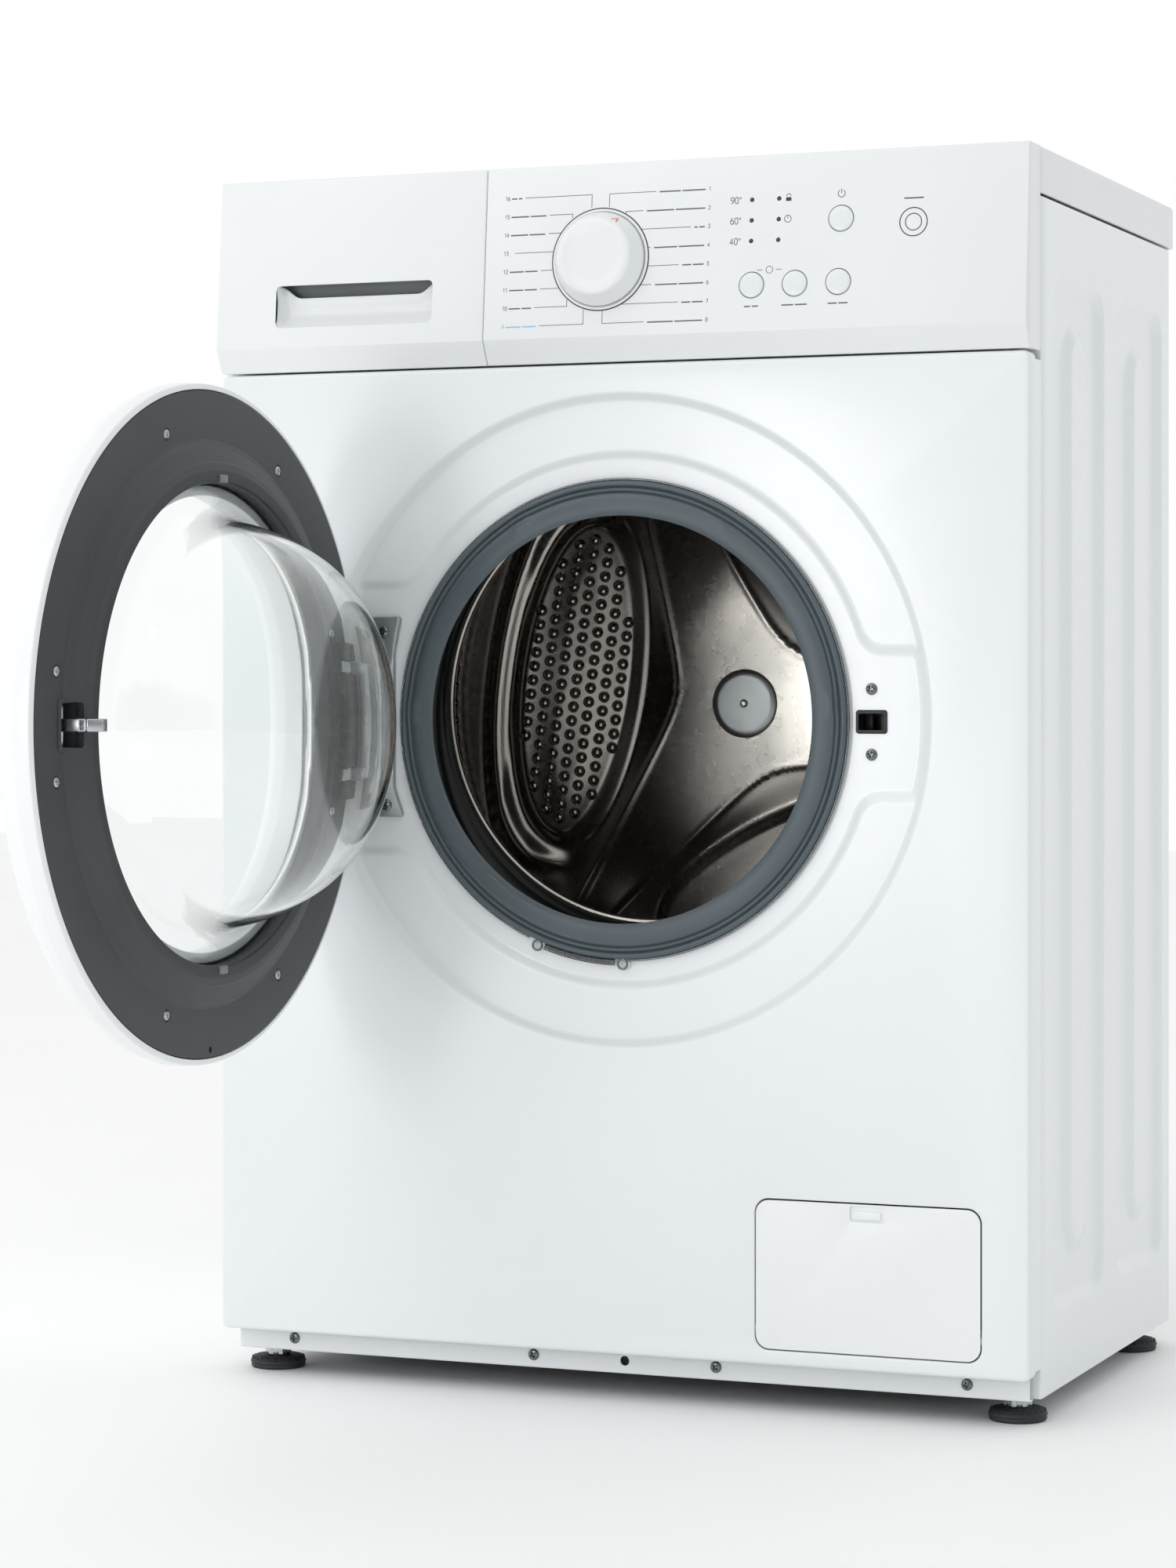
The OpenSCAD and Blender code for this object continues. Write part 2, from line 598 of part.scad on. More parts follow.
module drum_shell() color("silver") unit() {
    polygon([[152, drum_y0], [drum_r, drum_y0], [drum_r, drum_y1 + 4], [drum_r - 1.2, drum_y1 + 4],
        [drum_r - 1.2, drum_y0 + 1.2], [152, drum_y0 + 1.2]]);
    translate([152, drum_y0 - 1.2]) circle(2.4, $fn = 24);
}

pad_w = 88;
pad_h = 243;
pad_c = 132;
pad_y = drum_y1 - 12;
well_y = drum_y1 + 4;

module three_pads() for (i = [0 : 2]) translate([axis_x, drum_z]) rotate(pad_angle + 120 * i)
    translate([pad_c, 0]) children();

module drum_back() color("silver") {
    difference() {
        ycyl(axis_x, drum_z, drum_r - 1.2, drum_y1, drum_y1 + 1.2);
        yex(drum_y1 - 1, drum_y1 + 3) three_pads() lens(146, 320);
        ycyl(axis_x, drum_z, 10, drum_y1 - 1, drum_y1 + 3);
    }
    yex(drum_y1, well_y + 1.2) three_pads() difference() {
        lens(147, 322);
        lens(144.6, 318);
    }
    yex(well_y, well_y + 1.2) three_pads() difference() {
        lens(146, 320);
        lens(pad_w, pad_h);
    }
    yex(pad_y, well_y + 1.2) three_pads() difference() {
        lens(pad_w + 1, pad_h + 2);
        lens(pad_w - 1.4, pad_h - 3);
    }
    yex(pad_y, pad_y + 1.2) three_pads() lens(pad_w, pad_h);
}

module drum_lifters() color("silver") for (i = [0 : 2]) translate([axis_x, 0, drum_z])
    rotate([0, -(pad_angle + 60 + 120 * i), 0]) yex(84, 244) difference() {
        union() {
            polygon([[drum_r - 4, -26], [drum_r - 4, 26], [196, 9], [196, -9]]);
            translate([196, 0]) circle(9);
        }
        polygon([[drum_r, -22], [drum_r, 22], [198, 6.5], [198, -6.5]]);
    }

module drum_hub_cap() color("silver") {
    unit() polygon([[0, drum_y1 - 2.6], [24, drum_y1 - 2.6], [26, drum_y1 - 1], [26, drum_y1], [0, drum_y1]]);
    ycyl(axis_x, drum_z, 9.8, drum_y1 - 0.1, drum_y1 + 5);
}

spider_y = 266;

module drum_spider() color("darkgray") {
    difference() {
        ycyl(axis_x, drum_z, 32, spider_y, spider_y + 14);
        ycyl(axis_x, drum_z, 12.5, spider_y - 1, spider_y + 15);
    }
    for (i = [0 : 2]) translate([axis_x, 0, drum_z]) rotate([0, -(pad_angle + 60 + 120 * i), 0])
        yex(spider_y, spider_y + 10) polygon([[31, -14], [31, 14], [228, 8], [228, -8]]);
}

module drum_shaft() color("silver") ycyl(axis_x, drum_z, 12.5, spider_y - 0.5, 360);

bearing_ys = [[294, 309], [316, 331]];

module bearings() color("silver") unit() for (b = bearing_ys) rect(12.5, b[0], 28, b[1]);

module shaft_seal() color([0.15, 0.15, 0.15]) unit() rect(12.7, 284, 28, 292);

module tub_front() color("gainsboro") difference() {
    union() {
        unit() polygon([[150, 56], [tub_r, 56], [tub_r, 160], [tub_r + 8, 160], [tub_r + 8, 168],
            [tub_r - 4, 168], [tub_r - 4, 60], [150, 60]]);
        ycyl(port_x, port_z, 173, 44, 59);
        difference() {
            translate([sump_x, sump_y, 240]) cylinder(r = 15, h = 60);
            ycyl(axis_x, drum_z, tub_r - 1, 50, 170);
        }
    }
    ycyl(port_x, port_z, 170, 40, 64);
    translate([sump_x, sump_y, 230]) cylinder(r = 12.5, h = 90);
}

trough = [-70, 212, 82, 250];

module tub_rear() color("gainsboro") {
    difference() {
        union() {
            unit() polygon([[tub_r - 4, 168.2], [tub_r + 8, 168.2], [tub_r + 8, 177], [tub_r, 177], [tub_r, 292],
                [26, 292], [26, 286], [tub_r - 4, 286]]);
            unit() polygon([[28, 285], [40, 285], [36, 333], [28, 333]]);
            yex(178, 291.5) rr(trough[0], trough[1], trough[2], 280, 6);
            for (a = [0 : 30 : 330]) translate([axis_x, 0, drum_z]) rotate([0, a, 0])
                yex(291.9, 300) rect(36, -1.5, tub_r - 12, 1.5);
            for (s = [-1, 1]) {
                yex(spring_y - 9, spring_y + 9) rect(min(s * 190, s * 270), 616, max(s * 190, s * 270), 628);
                yex(spring_y - 1.5, spring_y + 1.5)
                    rect(min(s * 269, s * 290), 616, max(s * 269, s * 290), 628);
                yex(damper_y - 12, damper_y + 12) rect(s * damper_x - 12, 274, s * damper_x + 12, 345);
            }
            translate([outlet_x, outlet_y, 660]) cylinder(r = 10, h = 30);
        }
        ycyl(axis_x, drum_z, tub_r - 4, 160, 286);
        yex(182, 286) rr(trough[0] + 4, trough[1] + 4, trough[2] - 4, 290, 3);
        translate([outlet_x, outlet_y, 640]) cylinder(r = 8, h = 60);
        for (s = [-1, 1]) ycyl(s * spring_x, eye_z[0], 2.6, spring_y - 3, spring_y + 3);
        ycyl(axis_x, drum_z, 28, 280, 340);
        for (x = heater_x) ycyl(x, heater_z, 4.3, 280, 300);
    }
}

// Arc-shaped weight between two directions, out to a radius
module crescent(a0, a1, r) translate([axis_x, 0, drum_z]) rotate([-90, 0, 0]) rotate([0, 0, a0])
    rotate_extrude(angle = a1 - a0, $fn = 96) rect(191, 16, r, 55.9);
module counterweight_upper() color("gray") crescent(-140, -40, 224);
module counterweight_lower() color("gray") crescent(40, 122, 240);

spring_x = 282;
spring_y = 200;
// Heights at which the wire eyes pass through their holes
eye_z = [622, 808];
eye_r = 9.6;

module suspension_springs() color("dimgray") for (s = [-1, 1]) translate([s * spring_x, spring_y, 0]) {
    difference() {
        translate([0, 0, eye_z[0] + eye_r + 8]) cylinder(r = 6.5, h = eye_z[1] - eye_z[0] - 2 * eye_r - 16);
        translate([0, 0, eye_z[0]]) cylinder(r = 4.5, h = eye_z[1] - eye_z[0]);
    }
    for (z = [eye_z[0] + eye_r, eye_z[1] - eye_r]) translate([0, 0, z]) rotate([0, 90, 0]) rotate_extrude()
        translate([eye_r, 0]) circle(1.3, $fn = 24);
}

damper_x = 190;
damper_y = 215;
rod_r = 5;

module damper_cylinders() color([0.2, 0.2, 0.22]) for (s = [-1, 1]) translate([s * damper_x, damper_y, 0])
    difference() {
        translate([0, 0, floor_gap + 12.2]) cylinder(r = 14, h = 150);
        translate([0, 0, 60]) cylinder(r = rod_r + 0.1, h = 150);
    }

module damper_rods() color("silver") for (s = [-1, 1]) translate([s * damper_x, damper_y, 0]) {
    translate([0, 0, 100]) cylinder(r = rod_r, h = 174);
    translate([0, 0, 262]) cylinder(r = 10, h = 12);
}

heater_x = [-34, 46];
heater_y = 233;
heater_z = 230;

module heater() color("silver") {
    for (x = heater_x) ycyl(x, heater_z, 4, heater_y, 306);
    translate([(heater_x[0] + heater_x[1]) / 2, heater_y, heater_z]) rotate([0, 0, 180])
        rotate_extrude(angle = 180) translate([(heater_x[1] - heater_x[0]) / 2, 0]) circle(4);
    yex(292, 296) difference() {
        rr(-46, 219, 58, 241, 5);
        for (x = heater_x) translate([x, heater_z]) circle(4);
    }
}

motor_x = 50;
motor_z = 138;
motor_r = 56;

module motor() color("dimgray") difference() {
    union() {
        ycyl(motor_x, motor_z, motor_r, 190, 300);
        ycyl(motor_x, motor_z, 22, 300, 312);
        for (x = [motor_x - 28, motor_x + 28]) yex(210, 280) rect(x - 5, motor_z + 30, x + 5, trough[1]);
    }
    ycyl(motor_x, motor_z, 8.1, 180, 320);
}

belt_y = [336, 352];
pulley_r = 140;
small_r = 11;

module motor_rotor() color("silver") {
    ycyl(motor_x, motor_z, 8, 186, 356);
    b = [belt_y[0] - 0.6, belt_y[1] + 0.6];
    yrev(motor_x, motor_z) polygon([[7.9, b[0] - 1.4], [small_r + 3, b[0] - 1.4], [small_r + 3, b[0]],
        [small_r, b[0]], [small_r, b[1]], [small_r + 3, b[1]], [small_r + 3, b[1] + 1.4], [7.9, b[1] + 1.4]]);
}

module drum_pulley() color("silver") {
    unit() {
        rect(pulley_r - 6, belt_y[0] - 1, pulley_r, belt_y[1] + 1);
        rect(12.5, belt_y[0] - 1, 30, belt_y[1] + 1);
    }
    for (a = [0 : 60 : 300]) translate([axis_x, 0, drum_z]) rotate([0, a + 15, 0])
        yex(belt_y[0] + 3, belt_y[1] - 3)
            polygon([[29, -11], [29, 11], [pulley_r - 5, 7], [pulley_r - 5, -7]]);
}

belt_t = 3;
belt_gap = 0.2;
run = sqrt(pow(motor_x - axis_x, 2) + pow(motor_z - drum_z, 2));
run_a = atan2(motor_z - drum_z, motor_x - axis_x);
wrap = acos((pulley_r - small_r) / run);

// Outline round both pulleys, grown by g; the big one is at the origin
module belt_loop(g) polygon(concat(
    [for (i = [0 : 45]) (pulley_r + g) * unit_vector(wrap + i * (360 - 2 * wrap) / 45)],
    [for (i = [0 : 9]) [run, 0] + (small_r + g) * unit_vector(-wrap + i * 2 * wrap / 9)]));
function unit_vector(a) = [cos(a), sin(a)];

module drive_belt() color([0.1, 0.1, 0.1]) yex(belt_y[0], belt_y[1])
    translate([axis_x, drum_z]) rotate(run_a) difference() {
        belt_loop(belt_gap + belt_t);
        belt_loop(belt_gap);
    }

pump_x = 185;
pump_z = 92;

module drain_pump() color([0.25, 0.25, 0.27]) {
    difference() {
        union() {
            ycyl(pump_x, pump_z, 30, 24, 112);
            ycyl(pump_x, pump_z, 38, 112, 135);
            translate([sump_x, sump_y, pump_z]) cylinder(r = 15, h = 78);
            translate([pump_x + 26, 124, pump_z]) cylinder(r = 9, h = 60);
        }
        ycyl(pump_x, pump_z, 26, 20, 108);
        ycyl(pump_x, pump_z, 33, 115, 132);
        ycyl(pump_x, pump_z, 12, 100, 120);
        translate([sump_x, sump_y, pump_z + 10]) cylinder(r = 12.5, h = 80);
        translate([pump_x + 26, 124, pump_z + 5]) cylinder(r = 7, h = 60);
    }
    ycyl(pump_x, pump_z, 27, 135, 180);
    zex(floor_gap + 3.2, 62) rect(pump_x - 20, 32.6, pump_x + 20, 60);
}

module pump_filter() color("steelblue") {
    ycyl(pump_x, pump_z, 28, 16, 23.6);
    yex(9, 16.1) rect(pump_x - 20, pump_z - 4, pump_x + 20, pump_z + 4);
    difference() {
        ycyl(pump_x, pump_z, 25.4, 23.5, 90);
        ycyl(pump_x, pump_z, 22, 34, 91);
        for (a = [0, 60, 120]) translate([pump_x, 0, pump_z]) rotate([0, a, 0])
            yex(44, 84) rect(-30, -6, 30, 6);
    }
}

valve_x = 230;
valve_z = 770;
drain_x = -225;
drain_z = 700;
gland_x = 235;
gland_z = 690;
valve_y = 424;

module inlet_valve() color("lightgrey") difference() {
    union() {
        ycyl(valve_x, valve_z, 13.2, cab_d - 4, valve_y);
        ycyl(valve_x, valve_z, 18, cab_d - 6, cab_d);
        ycyl(valve_x, valve_z, 16, 340, cab_d - 6);
        translate([valve_x - 16, 318, valve_z - 20]) cube([32, 30, 40]);
    }
    ycyl(valve_x, valve_z, 10, 345, valve_y + 1);
}

module rear_fittings() color([0.2, 0.2, 0.2]) {
    difference() {
        union() {
            ycyl(drain_x, drain_z, 12, cab_d - 12, cab_d + 20);
            ycyl(drain_x, drain_z, 17, cab_d + sheet, cab_d + 5);
            ycyl(drain_x, drain_z, 17, cab_d - 6, cab_d);
        }
        ycyl(drain_x, drain_z, 9, cab_d - 13, cab_d + 21);
    }
    difference() {
        union() {
            ycyl(gland_x, gland_z, 9, cab_d - 5, cab_d + 8);
            ycyl(gland_x, gland_z, 12, cab_d + sheet, cab_d + 4);
            ycyl(gland_x, gland_z, 12, cab_d - 4, cab_d);
        }
        ycyl(gland_x, gland_z, 4, cab_d - 6, cab_d + 9);
    }
}

// ------------------------------------------------------------ small fittings

latch = [173.4, 133, 197.6, 143.6];

module service_flap() color(white) {
    yex(0, 2) difference() {
        rr(flap[0], flap[1], flap[2], flap[3], 9.5);
        rr(latch[0], latch[1], latch[2], latch[3], 2);
    }
    yex(1.9, 4) rr(latch[0] - 3, latch[1] - 3, latch[2] + 3, latch[3] + 0.6, 2);
    yex(0.4, 2) rect(latch[0] + 3, latch[1] + 1.8, latch[2] - 3, latch[1] + 7.5);
    for (x = [flap[0] + 12, flap[2] - 20]) xex(x, x + 8)
        rect(1.8, flap_pin_z - flap_pin_r, flap_pin_y, flap_pin_z + flap_pin_r);
    for (x = [flap[0] - 2, flap[2] - 20]) xex(x, x + 22)
        translate([flap_pin_y, flap_pin_z]) circle(flap_pin_r);
}

module foot_pads() color([0.16, 0.16, 0.17]) for (s = [-1, 1], y = foot_ys) translate([s * foot_x, y, 0]) {
    cylinder(r1 = 19, r2 = 20, h = 4);
    translate([0, 0, 4]) cylinder(r1 = 20, r2 = 17, h = 5);
}

module foot_bolts() color("silver") for (s = [-1, 1], y = foot_ys) translate([s * foot_x, y, 0]) {
    translate([0, 0, 9]) cylinder(r = 9.8, h = 6.5, $fn = 6);
    translate([0, 0, 15.5]) cylinder(r = 13, h = 1.5);
    translate([0, 0, 16]) cylinder(r = 5, h = 26);
}

// Pan-head screw with its head towards the user
module screw(x, y, z, r, long) translate([x, y, z]) rotate([-90, 0, 0]) {
    translate([0, 0, -1.8]) cylinder(r = r, h = 1.8);
    translate([0, 0, -0.1]) cylinder(r = r * 0.42, h = long);
}

module cabinet_screws() color("silver") {
    for (x = strip_screws) screw(x, strip_y, 26, 4, 5);
    for (s = [-lock_screw, lock_screw]) screw(lock_x, recess_b, lock_z + s, 4, 14);
    for (p = hinge_screws) screw(p[0], seat_y - 4, p[1], 4, 3.8);
}

side_panel_left();
side_panel_right();
rear_panel();
rear_cover();
front_panel();
kick_strip();
base_frame();
top_brace();
top_cover();
control_panel();
drawer_front();
drawer_tray();
dispenser_housing();
inner_hoses();
programme_knob();
power_button();
option_button_a();
option_button_b();
option_button_c();
light_guides();
ui_board();
main_board();
door_outer_frame();
door_inner_ring();
door_glass();
door_hook();
hinge_bracket();
hinge_pin();
door_lock();
door_screws();
gasket();
gasket_clamp();
drum_shell();
drum_back();
drum_lifters();
drum_hub_cap();
drum_spider();
drum_shaft();
bearings();
shaft_seal();
tub_front();
tub_rear();
counterweight_upper();
counterweight_lower();
suspension_springs();
damper_cylinders();
damper_rods();
heater();
motor();
motor_rotor();
drum_pulley();
drive_belt();
drain_pump();
pump_filter();
inlet_valve();
rear_fittings();
service_flap();
foot_pads();
foot_bolts();
cabinet_screws();
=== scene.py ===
"""Looks of a narrow front-loading washing machine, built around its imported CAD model.

Metres, in the CAD model's frame: the origin is on the floor under the middle of the
front panel's face, -Y is the user's side, +X the user's right and +Z is up.
Pieces are drawn in millimetres through mm() and the door's pieces are drawn shut,
then turned open by opened().
"""

import json
import math

import bmesh
import bpy
from mathutils import Matrix, Vector
from mathutils.geometry import delaunay_2d_cdt


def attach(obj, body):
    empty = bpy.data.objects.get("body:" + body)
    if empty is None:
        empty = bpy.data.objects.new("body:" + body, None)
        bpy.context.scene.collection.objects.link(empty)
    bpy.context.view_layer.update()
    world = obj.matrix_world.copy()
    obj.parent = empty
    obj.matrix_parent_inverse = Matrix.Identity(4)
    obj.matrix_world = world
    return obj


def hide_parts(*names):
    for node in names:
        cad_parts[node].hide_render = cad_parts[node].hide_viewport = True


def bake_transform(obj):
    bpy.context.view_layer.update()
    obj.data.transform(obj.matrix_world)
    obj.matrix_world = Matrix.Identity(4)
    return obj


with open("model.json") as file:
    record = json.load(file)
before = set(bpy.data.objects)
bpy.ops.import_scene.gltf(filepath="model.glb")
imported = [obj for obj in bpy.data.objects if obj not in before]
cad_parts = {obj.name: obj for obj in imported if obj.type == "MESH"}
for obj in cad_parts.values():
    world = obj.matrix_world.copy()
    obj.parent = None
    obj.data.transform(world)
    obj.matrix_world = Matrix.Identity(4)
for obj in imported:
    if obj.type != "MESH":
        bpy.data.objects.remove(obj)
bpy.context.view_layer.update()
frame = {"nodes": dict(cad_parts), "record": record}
scene = bpy.context.scene
nodes = frame["nodes"]

# ------------------------------------------------------------- driving places
HALF_W = 297.5                  # half the cabinet's width
PORT = (6.0, 468.0)             # porthole centre
DRUM = (6.0, 478.0)             # drum axis
DOOR = (6.0, 466.0)             # door centre, shut
RING_Y = -13.0                  # inner ring's plane, shut
HINGE = (-190.6, -10.0)         # hinge axis
DOOR_OPEN = math.radians(91.4)
TRIM_X = HINGE[0] - 7.0         # the door's straight hinge side
HOOK = (186.0, 467.0)
SPLIT_X = -90.6                 # drawer front | control panel
KNOB = (-4.5, 783.0)
LEAN = math.atan(9.5 / 119.5)   # how far the fascia leans back
FASCIA_Z = 730.0
BUTTONS = {"power_button": (168.2, 803.6), "option_button_a": (105.8, 761.0),
           "option_button_b": (136.5, 761.0), "option_button_c": (167.2, 761.0)}
LAMPS = [(x, z) for x in (104.7, 124.0) for z in (819.0, 805.0, 791.0)]
FLAP = (106.7, 44.4, 264.0, 145.0)
FEET = [(x, y) for x in (-276, 276) for y in (48, 350)]
SPRING = (282, 200)             # suspension springs, either side
EYES = (622, 808)               # heights of the springs' wire eyes
VALVE = (230, 770)              # fittings on the rear panel
DRAIN = (-225, 700)
GLAND = (235, 690)
SCREW_ANGLES = (-161, -119, -73, -10, 10, 73, 119, 161)
SCREW_R = 195.0
PAD_ANGLE = 172.0
PORT_EDGE = 161.0               # where the flat round the porthole starts to turn in


def mm(points):
    """Points in millimetres as vectors in metres."""
    return [Vector(p) / 1000 for p in points]


def smooth(a, b, t):
    """0 before a, 1 after b, with a soft start and end."""
    t = max(0.0, min(1.0, (t - a) / (b - a)))
    return t * t * (3 - 2 * t)


def arc(cx, cy, r, a0, a1, steps):
    """Points on a circle's arc, angles in degrees."""
    angles = [math.radians(a0 + (a1 - a0) * i / steps) for i in range(steps + 1)]
    return [(cx + r * math.cos(a), cy + r * math.sin(a)) for a in angles]


def filleted(points, radii, steps=5, closed=True):
    """A 2D outline with its corners rounded; one radius, or one per corner."""
    count = len(points)
    if not hasattr(radii, "__len__"):
        radii = [radii] * count
    made = []
    for i, (p, r) in enumerate(zip(points, radii)):
        if r <= 0 or (not closed and i in (0, count - 1)):
            made.append(tuple(p))
            continue
        here = Vector(p)
        back = Vector(points[i - 1]) - here
        ahead = Vector(points[(i + 1) % count]) - here
        turn = back.angle(ahead)
        if turn > math.pi - 0.02:
            made.append(tuple(p))
            continue
        cut = min(r / math.tan(turn / 2), 0.49 * back.length, 0.49 * ahead.length)
        radius = cut * math.tan(turn / 2)
        start = here + back.normalized() * cut
        end = here + ahead.normalized() * cut
        centre = here + (back.normalized() + ahead.normalized()).normalized() * (radius / math.sin(turn / 2))
        a, b = start - centre, end - centre
        sweep = a.angle_signed(b)
        for k in range(steps + 1):
            t = -sweep * k / steps
            made.append((centre.x + a.x * math.cos(t) - a.y * math.sin(t),
                         centre.y + a.x * math.sin(t) + a.y * math.cos(t)))
    return made


def round_rect(x0, z0, x1, z1, r, steps=8):
    """Outline of a rectangle with round corners, anticlockwise."""
    return (arc(x1 - r, z0 + r, r, -90, 0, steps) + arc(x1 - r, z1 - r, r, 0, 90, steps)
            + arc(x0 + r, z1 - r, r, 90, 180, steps) + arc(x0 + r, z0 + r, r, 180, 270, steps))


def rect(x0, z0, x1, z1):
    """Outline of a plain rectangle, anticlockwise."""
    return [(x0, z0), (x1, z0), (x1, z1), (x0, z1)]


# ------------------------------------------------------------------ materials

def linear(rgb):
    """An 8-bit sRGB colour as linear values."""
    return tuple(((c / 255 + 0.055) / 1.055) ** 2.4 if c > 10 else c / 3294.6 for c in rgb) + (1.0,)


def noise(tree, scale, detail=3.0, stretch=(1, 1, 1), rough=0.5):
    """A noise texture on the object's own coordinates."""
    coords = tree.nodes.new("ShaderNodeTexCoord")
    mapping = tree.nodes.new("ShaderNodeMapping")
    mapping.inputs["Scale"].default_value = stretch
    tree.links.new(coords.outputs["Object"], mapping.inputs["Vector"])
    tex = tree.nodes.new("ShaderNodeTexNoise")
    tex.inputs["Scale"].default_value = scale
    tex.inputs["Detail"].default_value = detail
    tex.inputs["Roughness"].default_value = rough
    tree.links.new(mapping.outputs["Vector"], tex.inputs["Vector"])
    return tex.outputs["Fac"]


def ramp(tree, value, low, high, a, b):
    """A colour ramp from low at a to high at b."""
    node = tree.nodes.new("ShaderNodeValToRGB")
    node.color_ramp.elements[0].position = a
    node.color_ramp.elements[0].color = low
    node.color_ramp.elements[1].position = b
    node.color_ramp.elements[1].color = high
    tree.links.new(value, node.inputs["Fac"])
    return node.outputs["Color"]


def spread(tree, value, low, high):
    """A 0-1 value moved to the range low-high."""
    node = tree.nodes.new("ShaderNodeMapRange")
    node.inputs["From Min"].default_value = 0.3
    node.inputs["From Max"].default_value = 0.7
    node.inputs["To Min"].default_value = low
    node.inputs["To Max"].default_value = high
    tree.links.new(value, node.inputs["Value"])
    return node.outputs["Result"]


def material(name, rgb, rough, vary=0.03, cloud=18.0, grain=900.0, bump=0.02, depth=0.0002,
             stretch=(1, 1, 1), rough_vary=0.05, **fixed):
    """A Principled material whose colour, gloss and surface follow procedural noise.

    vary is how far the colour moves each way, grain the scale of the surface's bump and
    stretch draws the grain out along an axis, as on brushed metal."""
    made = bpy.data.materials.new(name)
    made.use_nodes = True
    tree = made.node_tree
    shader = tree.nodes["Principled BSDF"]
    base = linear(rgb)
    low = tuple(c * (1 - vary) for c in base[:3]) + (1,)
    high = tuple(min(1, c * (1 + vary)) for c in base[:3]) + (1,)
    clouds = noise(tree, cloud, 4.0)
    tree.links.new(ramp(tree, clouds, low, high, 0.35, 0.65), shader.inputs["Base Color"])
    fine = noise(tree, grain, 2.0, stretch)
    tree.links.new(spread(tree, fine, rough - rough_vary, rough + rough_vary), shader.inputs["Roughness"])
    node = tree.nodes.new("ShaderNodeBump")
    node.inputs["Strength"].default_value = bump
    node.inputs["Distance"].default_value = depth
    tree.links.new(fine, node.inputs["Height"])
    tree.links.new(node.outputs["Normal"], shader.inputs["Normal"])
    for key, value in fixed.items():
        shader.inputs[key.replace("_", " ")].default_value = value
    return made


def make_materials():
    """One material for each kind of surface, by the record's slot names."""
    m = {}
    m["white_steel"] = material("white_enamel", (236, 240, 242), 0.30, 0.008, 3, 90, 0.02, 0.0001,
                                rough_vary=0.02, Coat_Weight=0.25, Coat_Roughness=0.15)
    m["worktop_white"] = material("worktop_laminate", (236, 239, 240), 0.40, 0.012, 8, 500, 0.10, 0.0003)
    m["white_plastic"] = material("white_abs", (240, 243, 244), 0.30, 0.010, 6, 700, 0.05, 0.0002,
                                  rough_vary=0.03)
    m["button_plastic"] = material("button_abs", (231, 235, 237), 0.28, 0.012, 20, 900, 0.05, 0.0002)
    m["tray_plastic"] = material("tray_pp", (206, 213, 220), 0.38, 0.02, 12, 600, 0.08, 0.0002,
                                 Subsurface_Weight=0.05)
    m["zinc_sheet"] = material("galvanised", (170, 174, 178), 0.42, 0.14, 55, 420, 0.10, 0.0003,
                               Metallic=0.9)
    m["dark_ring"] = material("dark_pp", (61, 63, 65), 0.46, 0.05, 14, 1500, 0.22, 0.0002)
    m["zinc_steel"] = material("zinc_plate", (190, 193, 197), 0.26, 0.05, 70, 900, 0.06, 0.0002,
                               Metallic=1.0)
    m["grey_casting"] = material("die_cast", (166, 171, 173), 0.40, 0.06, 60, 700, 0.20, 0.0003,
                                 Metallic=0.75)
    m["black_plastic"] = material("black_pp", (32, 33, 35), 0.42, 0.08, 20, 1200, 0.15, 0.0002)
    m["grey_rubber"] = material("gasket_rubber", (79, 90, 96), 0.40, 0.05, 16, 800, 0.10, 0.0002)
    m["black_rubber"] = material("black_rubber", (44, 46, 48), 0.62, 0.10, 30, 700, 0.25, 0.0003)
    m["stainless"] = material("drum_steel", (166, 161, 155), 0.19, 0.03, 10, 500, 0.02, 0.0002,
                              stretch=(1, 6, 1), rough_vary=0.01, Metallic=1.0)
    m["cast_aluminium"] = material("cast_aluminium", (176, 178, 180), 0.45, 0.08, 60, 420, 0.30, 0.0004,
                                   Metallic=0.9)
    m["bearing_steel"] = material("ground_steel", (180, 181, 184), 0.22, 0.05, 40, 900, 0.05, 0.0002,
                                  Metallic=1.0)
    m["tub_plastic"] = material("tub_pp", (202, 206, 208), 0.50, 0.03, 10, 300, 0.15, 0.0003)
    m["concrete"] = material("concrete", (138, 135, 130), 0.85, 0.14, 90, 260, 0.60, 0.0010)
    m["spring_steel"] = material("spring_steel", (88, 90, 94), 0.30, 0.08, 60, 900, 0.06, 0.0002,
                                 Metallic=0.95)
    m["motor_steel"] = material("motor_paint", (62, 64, 67), 0.40, 0.06, 30, 600, 0.12, 0.0002,
                                Metallic=0.3)
    m["board_green"] = material("board_green", (26, 92, 60), 0.35, 0.10, 120, 900, 0.10, 0.0002)
    m["led_lens"] = material("led_lens", (70, 74, 78), 0.12, 0.05, 200, 900, 0.02, 0.0001,
                             Transmission_Weight=0.2)
    m["filter_plastic"] = material("filter_pp", (92, 118, 146), 0.42, 0.05, 25, 700, 0.12, 0.0002)
    m["valve_plastic"] = material("valve_pp", (222, 224, 224), 0.40, 0.03, 25, 700, 0.10, 0.0002)
    m["clear_glass"] = glass_material()
    return m


def glass_material():
    """Clear pressed glass: a faint green tint and a slow waviness."""
    made = bpy.data.materials.new("pressed_glass")
    made.use_nodes = True
    tree = made.node_tree
    shader = tree.nodes["Principled BSDF"]
    shader.inputs["Transmission Weight"].default_value = 1.0
    shader.inputs["IOR"].default_value = 1.47
    shader.inputs["Roughness"].default_value = 0.0
    clouds = noise(tree, 9.0, 2.0)
    tree.links.new(ramp(tree, clouds, (0.955, 0.985, 0.98, 1), (0.99, 1, 1, 1), 0.3, 0.7),
                   shader.inputs["Base Color"])
    node = tree.nodes.new("ShaderNodeBump")
    node.inputs["Strength"].default_value = 0.06
    node.inputs["Distance"].default_value = 0.002
    tree.links.new(noise(tree, 14.0, 1.0), node.inputs["Height"])
    tree.links.new(node.outputs["Normal"], shader.inputs["Normal"])
    return made


